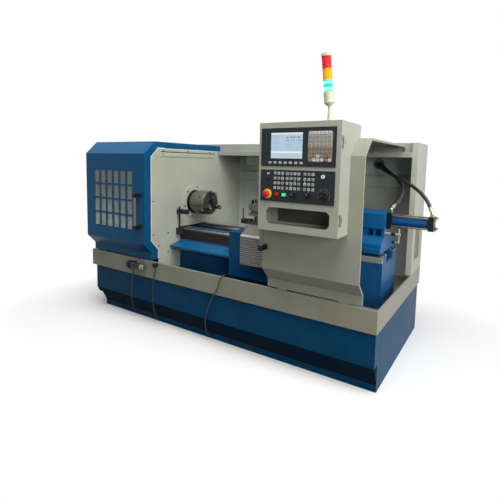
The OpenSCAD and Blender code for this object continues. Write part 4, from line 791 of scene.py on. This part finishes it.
# Buttons, lock and sockets
# The emergency stop is a red mushroom head over a yellow ring; stop and start are oblong caps on round stems.
# A bright lock, a socket under two flaps and a round socket sit higher up, all clamped in holes of the panel.
ESTOP_X, STOP_X, START_X, SWITCH_Z = 0.771, 0.843, 0.895, 1.310
LOCK_X, LOCK_Z, SOCKET_X, FLAP_Z = 1.156, 1.433, 0.775, 1.442
ring_yellow = finish("ring_yellow", (226, 172, 24), 0.42, cloud=0.08, grain=1200)
turned("stop_ring", "pendant_front", ring_yellow, (ESTOP_X, FACE_Y, SWITCH_Z), OUT,
       ((0, 0), (0.031, 0), (0.031, 0.0045), (0.0295, 0.006), (0.012, 0.006), (0, 0.006)), 40)
stop_red = finish("stop_red", (190, 24, 22), 0.32, cloud=0.1, grain=1200)
stop_head = turned("stop_head", "estop", stop_red, (ESTOP_X, -0.935, SWITCH_Z), OUT,
                   ((0, 0), (0.006, 0), (0.006, 0.025), (0.018, 0.025), (0.0212, 0.0272), (0.022, 0.031),
                    (0.0217, 0.0385), (0.0198, 0.0438), (0.0160, 0.0470), (0.0095, 0.0487), (0, 0.0490)), 40)
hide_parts("estop_button")
black_plastic = finish("black_plastic", (20, 20, 22), 0.46, cloud=0.2, dust=0.06, grain=1400, lift=0.15)
cap_red = finish("cap_red", (178, 22, 22), 0.3, cloud=0.1, grain=1200)
for body, x, slot, material in (("stop", STOP_X, "red", cap_red), ("start", START_X, "green", lit_green)):
    cap = caps(f"{body}_cap", body, material, (x, FACE_Y - 0.005, SWITCH_Z), (0.014, 0.010), 0.008,
               ACROSS, OUT, 0.3)
    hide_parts(f"{body}_button")
    turned(f"{body}_stem", body, black_plastic, (x, FACE_Y + 0.008, SWITCH_Z), OUT,
           ((0, 0), (0.005, 0), (0.005, 0.0132), (0, 0.0132)), 16)
turned("panel_lock", "pendant_front", bright_steel, (LOCK_X, FACE_Y, LOCK_Z), OUT,
       ((0, 0), (0.014, 0), (0.014, 0.006), (0.0125, 0.0085), (0.0105, 0.009), (0.0105, 0.0115),
        (0.0095, 0.012), (0, 0.012)), 32)
caps("lock_slot", "pendant_front", black_plastic, (LOCK_X, FACE_Y - 0.0118, LOCK_Z),
     (0.0014, 0.006), 0.0004, ACROSS, OUT)
caps("socket_cover", "pendant_front", black_plastic, (SOCKET_X, FACE_Y, FLAP_Z),
     (0.012, 0.008), 0.002, ACROSS, OUT, 0.25)
caps("socket_flaps", "pendant_front", key_rubber,
     [(SOCKET_X + side, FACE_Y - 0.0018, FLAP_Z) for side in (-0.0055, 0.0055)],
     (0.0044, 0.0062), 0.0012, ACROSS, OUT, 0.3, np.tile((*srgb(196, 196, 190)[:3], 0.0), (2, 1)))
turned("round_socket", "pendant_front", black_plastic, (SOCKET_X, FACE_Y, 1.405), OUT,
       ((0, 0), (0.010, 0), (0.010, 0.0022), (0.0088, 0.003), (0.0062, 0.003), (0.0054, 0.001),
        (0, 0.001)), 28)


# Knobs and feed dial
# Moulded black plastic pushed on shafts: a selector, a key switch, and a fluted dial with a finger grip.
# Pointers are printed on the knobs, and ticks round them on the panel, without figures.
SELECTOR_X, KEY_X, DIAL_X, DIAL_Z = 0.960, 1.059, 1.162, 1.322
mark_white = finish("mark_white", (206, 206, 200), 0.5, cloud=0.06)
for node, name, body, x, top, turn, r in (
        ("selector_knob", "selector_mark", "selector", SELECTOR_X, 0.018, 40, 0.017),
        ("key_switch", "key_mark", "key", KEY_X, 0.016, 90, 0.016)):
    dress(node, black_plastic, 0.0008)
    along = np.array((math.cos(math.radians(turn)), 0, -math.sin(math.radians(turn))))
    caps(name, body, mark_white, np.array((x, FACE_Y - top, SWITCH_Z)) - 0.5 * r * along,
         (0.005, 0.0011), 0.0004, along, OUT)
dial_body = turned("dial_body", "dial", black_plastic, (DIAL_X, FACE_Y - 0.0003, DIAL_Z),
                   OUT, ((0, 0), (0.0298, 0), (0.0300, 0.0035), (0.0278, 0.0055), (0.0262, 0.0155),
                         (0.0236, 0.0177), (0, 0.0177)), 80, 10, 0.10)
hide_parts("feed_dial")
along = np.array((math.cos(math.radians(35)), 0, math.sin(math.radians(35))))
caps("dial_grip", "dial", black_plastic, (DIAL_X, FACE_Y - 0.0175, DIAL_Z),
     (0.0255, 0.0045), 0.0085, along, OUT, 0.3)
caps("dial_pointer", "dial", finish("pointer_red", (170, 36, 32), 0.45, cloud=0.08),
     np.array((DIAL_X, FACE_Y - 0.0256, DIAL_Z)) - 0.012 * along, (0.0115, 0.0014), 0.0004, along, OUT)
ticks = [(DIAL_X, DIAL_Z, 0.0375, a) for a in range(-30, 211, 20)]
ticks += [(SELECTOR_X, SWITCH_Z, 0.0225, a) for a in (50, 90, 130, 170)]
ticks += [(KEY_X, SWITCH_Z, 0.0225, a) for a in (40, 90, 140)]
cx, cz, reach, angle = np.array(ticks, dtype=float).T
angle = np.radians(angle)
ray = np.stack([np.cos(angle), np.zeros_like(angle), np.sin(angle)], -1)
middle = np.stack([cx, np.full_like(cx, FACE_Y), cz], -1)
caps("dial_ticks", "pendant_front", mark_white, middle + reach[:, None] * ray,
     (0.0028, 0.0007), 0.0004, ray, OUT)


# Signal lamp
# Three stacked lens rings in red, amber and lit green on a beige foot and pole, leaning slightly to the left.
# The lenses are clear moulded plastic with upright flutes that spread the light.
dress("beacon_stand", finish("lamp_beige", (196, 194, 168), 0.45, cloud=0.06, grain=1200), 0.001)
lens_plastic, tree, shader = bare_material("lens_plastic")
tint = put(tree, "ShaderNodeAttribute", attribute_name="tint").outputs
level = unrolled(tree)["Y"]
bands = [reckon(tree, "COMPARE", level, centre, half) for centre, half in ((0.225, 0.075), (0.555, 0.05))]
lit = reckon(tree, "GREATER_THAN", tint["Alpha"], 0.5)
core = reckon(tree, "MULTIPLY", lit, reckon(tree, "MAXIMUM", *bands))
tree.links.new(tint["Color"], shader.inputs["Base Color"])
glow = blended(tree, core, tint["Color"], srgb(214, 255, 240))
tree.links.new(blended(tree, tint["Alpha"], (0, 0, 0, 1), glow), shader.inputs["Emission Color"])
shader.inputs["Emission Strength"].default_value = 0.9
shader.inputs["Roughness"].default_value = 0.3
shader.inputs["Specular IOR Level"].default_value = 0.25

LENS_R, LEAN = 0.028, math.radians(6.3)
pole = np.array((-math.sin(LEAN), 0, math.cos(LEAN)))
rings = np.array((1.159, -0.880, 1.765)) + np.array((0.173, 0.243, 0.313))[:, None] * pole
wall = [(LENS_R, h) for h in (0, 0.012, 0.022, 0.033, 0.044, 0.055, 0.0645)]
neck = [(0.0265, 0.066), (0.025, 0.0662), (0.025, 0.0699), (0, 0.0699)]
# The red and amber lenses are not lit, yet each gets a faint glow of its own colour, as painted light through
# the plastic.
lens_tint = [(*srgb(*colour)[:3], light) for colour, light in (
    ((0, 222, 150), 1.0), ((226, 158, 8), 0.15), ((210, 24, 44), 0.15))]
lenses = turned("signal_lenses", "right_guard", lens_plastic, rings, pole, [(0, 0)] + wall + neck,
                96, 24, 0.045, lens_tint)
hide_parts("beacon_lenses")


# Floor and light
# A pale painted floor that runs out into white round the machine, in a white surround.
# Four soft lamps light it: above, at the right end, off the front right corner, and over the left guard.
def seen_itself(tree):
    """1 for what the camera sees itself, in gloss or through glass, and 0 for light on its way."""
    path = put(tree, "ShaderNodeLightPath").outputs
    through = reckon(tree, "MAXIMUM", path["Is Glossy Ray"], path["Is Transmission Ray"])
    return reckon(tree, "MAXIMUM", path["Is Camera Ray"], through)


floor_paint, tree, shader = bare_material("floor_paint")
at = spot(tree)
past = [reckon(tree, "MAXIMUM", reckon(tree, "SUBTRACT", reckon(tree, "ABSOLUTE", at[axis]), half), 0.0)
        for axis, half in (("X", 1.45), ("Y", 0.70))]
away = reckon(tree, "SQRT", reckon(tree, "ADD", *[reckon(tree, "POWER", d, 2.0) for d in past]))
seen = seen_itself(tree)
cloud = spread(tree, noise(tree, 0.8, 3.0), 0.3, 0.7, 0, 1)
pale = blended(tree, cloud, (0.88, 0.88, 0.88, 1), (0.92, 0.92, 0.92, 1))
tree.links.new(blended(tree, seen, (0.1, 0.1, 0.1, 1), pale), shader.inputs["Base Color"])
shader.inputs["Roughness"].default_value = 0.8
open_floor = put(tree, "ShaderNodeEmission", (1, 1, 1, 1), 1.0)
share = reckon(tree, "MULTIPLY", seen, spread(tree, away, 0.0, 0.9, 0.1, 1.0))
runs_out = put(tree, "ShaderNodeMixShader", share, shader.outputs[0], open_floor.outputs[0])
tree.links.new(runs_out.outputs[0], tree.nodes["Material Output"].inputs["Surface"])
mesh = bpy.data.meshes.new("studio_floor")
mesh.from_pydata([(-30, -30, 0), (30, -30, 0), (30, 30, 0), (-30, 30, 0)], [], [(0, 1, 2, 3)])
mesh.materials.append(floor_paint)
studio_floor = bpy.data.objects.new("studio_floor", mesh)
bpy.context.scene.collection.objects.link(studio_floor)


def soft_light(name, place, aim, width, height, power):
    """Area light at a place that faces a point."""
    made = bpy.data.lights.new(name, "AREA")
    made.shape, made.size, made.size_y, made.energy = "RECTANGLE", width, height, power
    lamp = bpy.data.objects.new(name, made)
    facing = (Vector(aim) - Vector(place)).to_track_quat("-Z", "Y").to_matrix().to_4x4()
    lamp.matrix_world = Matrix.Translation(place) @ facing
    bpy.context.scene.collection.objects.link(lamp)


soft_light("light_right", (6.0, -1.4, 2.6), (0.4, 0.1, 0.9), 3.5, 3.0, 170)
soft_light("light_above", (2.4, -2.0, 5.0), (0.2, -0.2, 0.9), 4.5, 2.0, 220)
soft_light("light_left", (-1.0, -1.0, 4.3), (-1.0, -0.5, 1.6), 2.0, 1.5, 70)
soft_light("light_corner", (4.8, -4.4, 2.2), (0.6, 0.2, 1.0), 2.5, 2.0, 95)

world = bpy.data.worlds.new("studio")
world.use_nodes = True
bpy.context.scene.world = world
tree = world.node_tree
tree.nodes.clear()
room = put(tree, "ShaderNodeBackground", (0.95, 0.97, 1.0, 1), 0.07)
white = put(tree, "ShaderNodeBackground", (1, 1, 1, 1), 1.0)
mixed = put(tree, "ShaderNodeMixShader", seen_itself(tree), room.outputs[0], white.outputs[0])
put(tree, "ShaderNodeOutputWorld", mixed.outputs[0])
bpy.context.scene.view_settings.view_transform = "Standard"
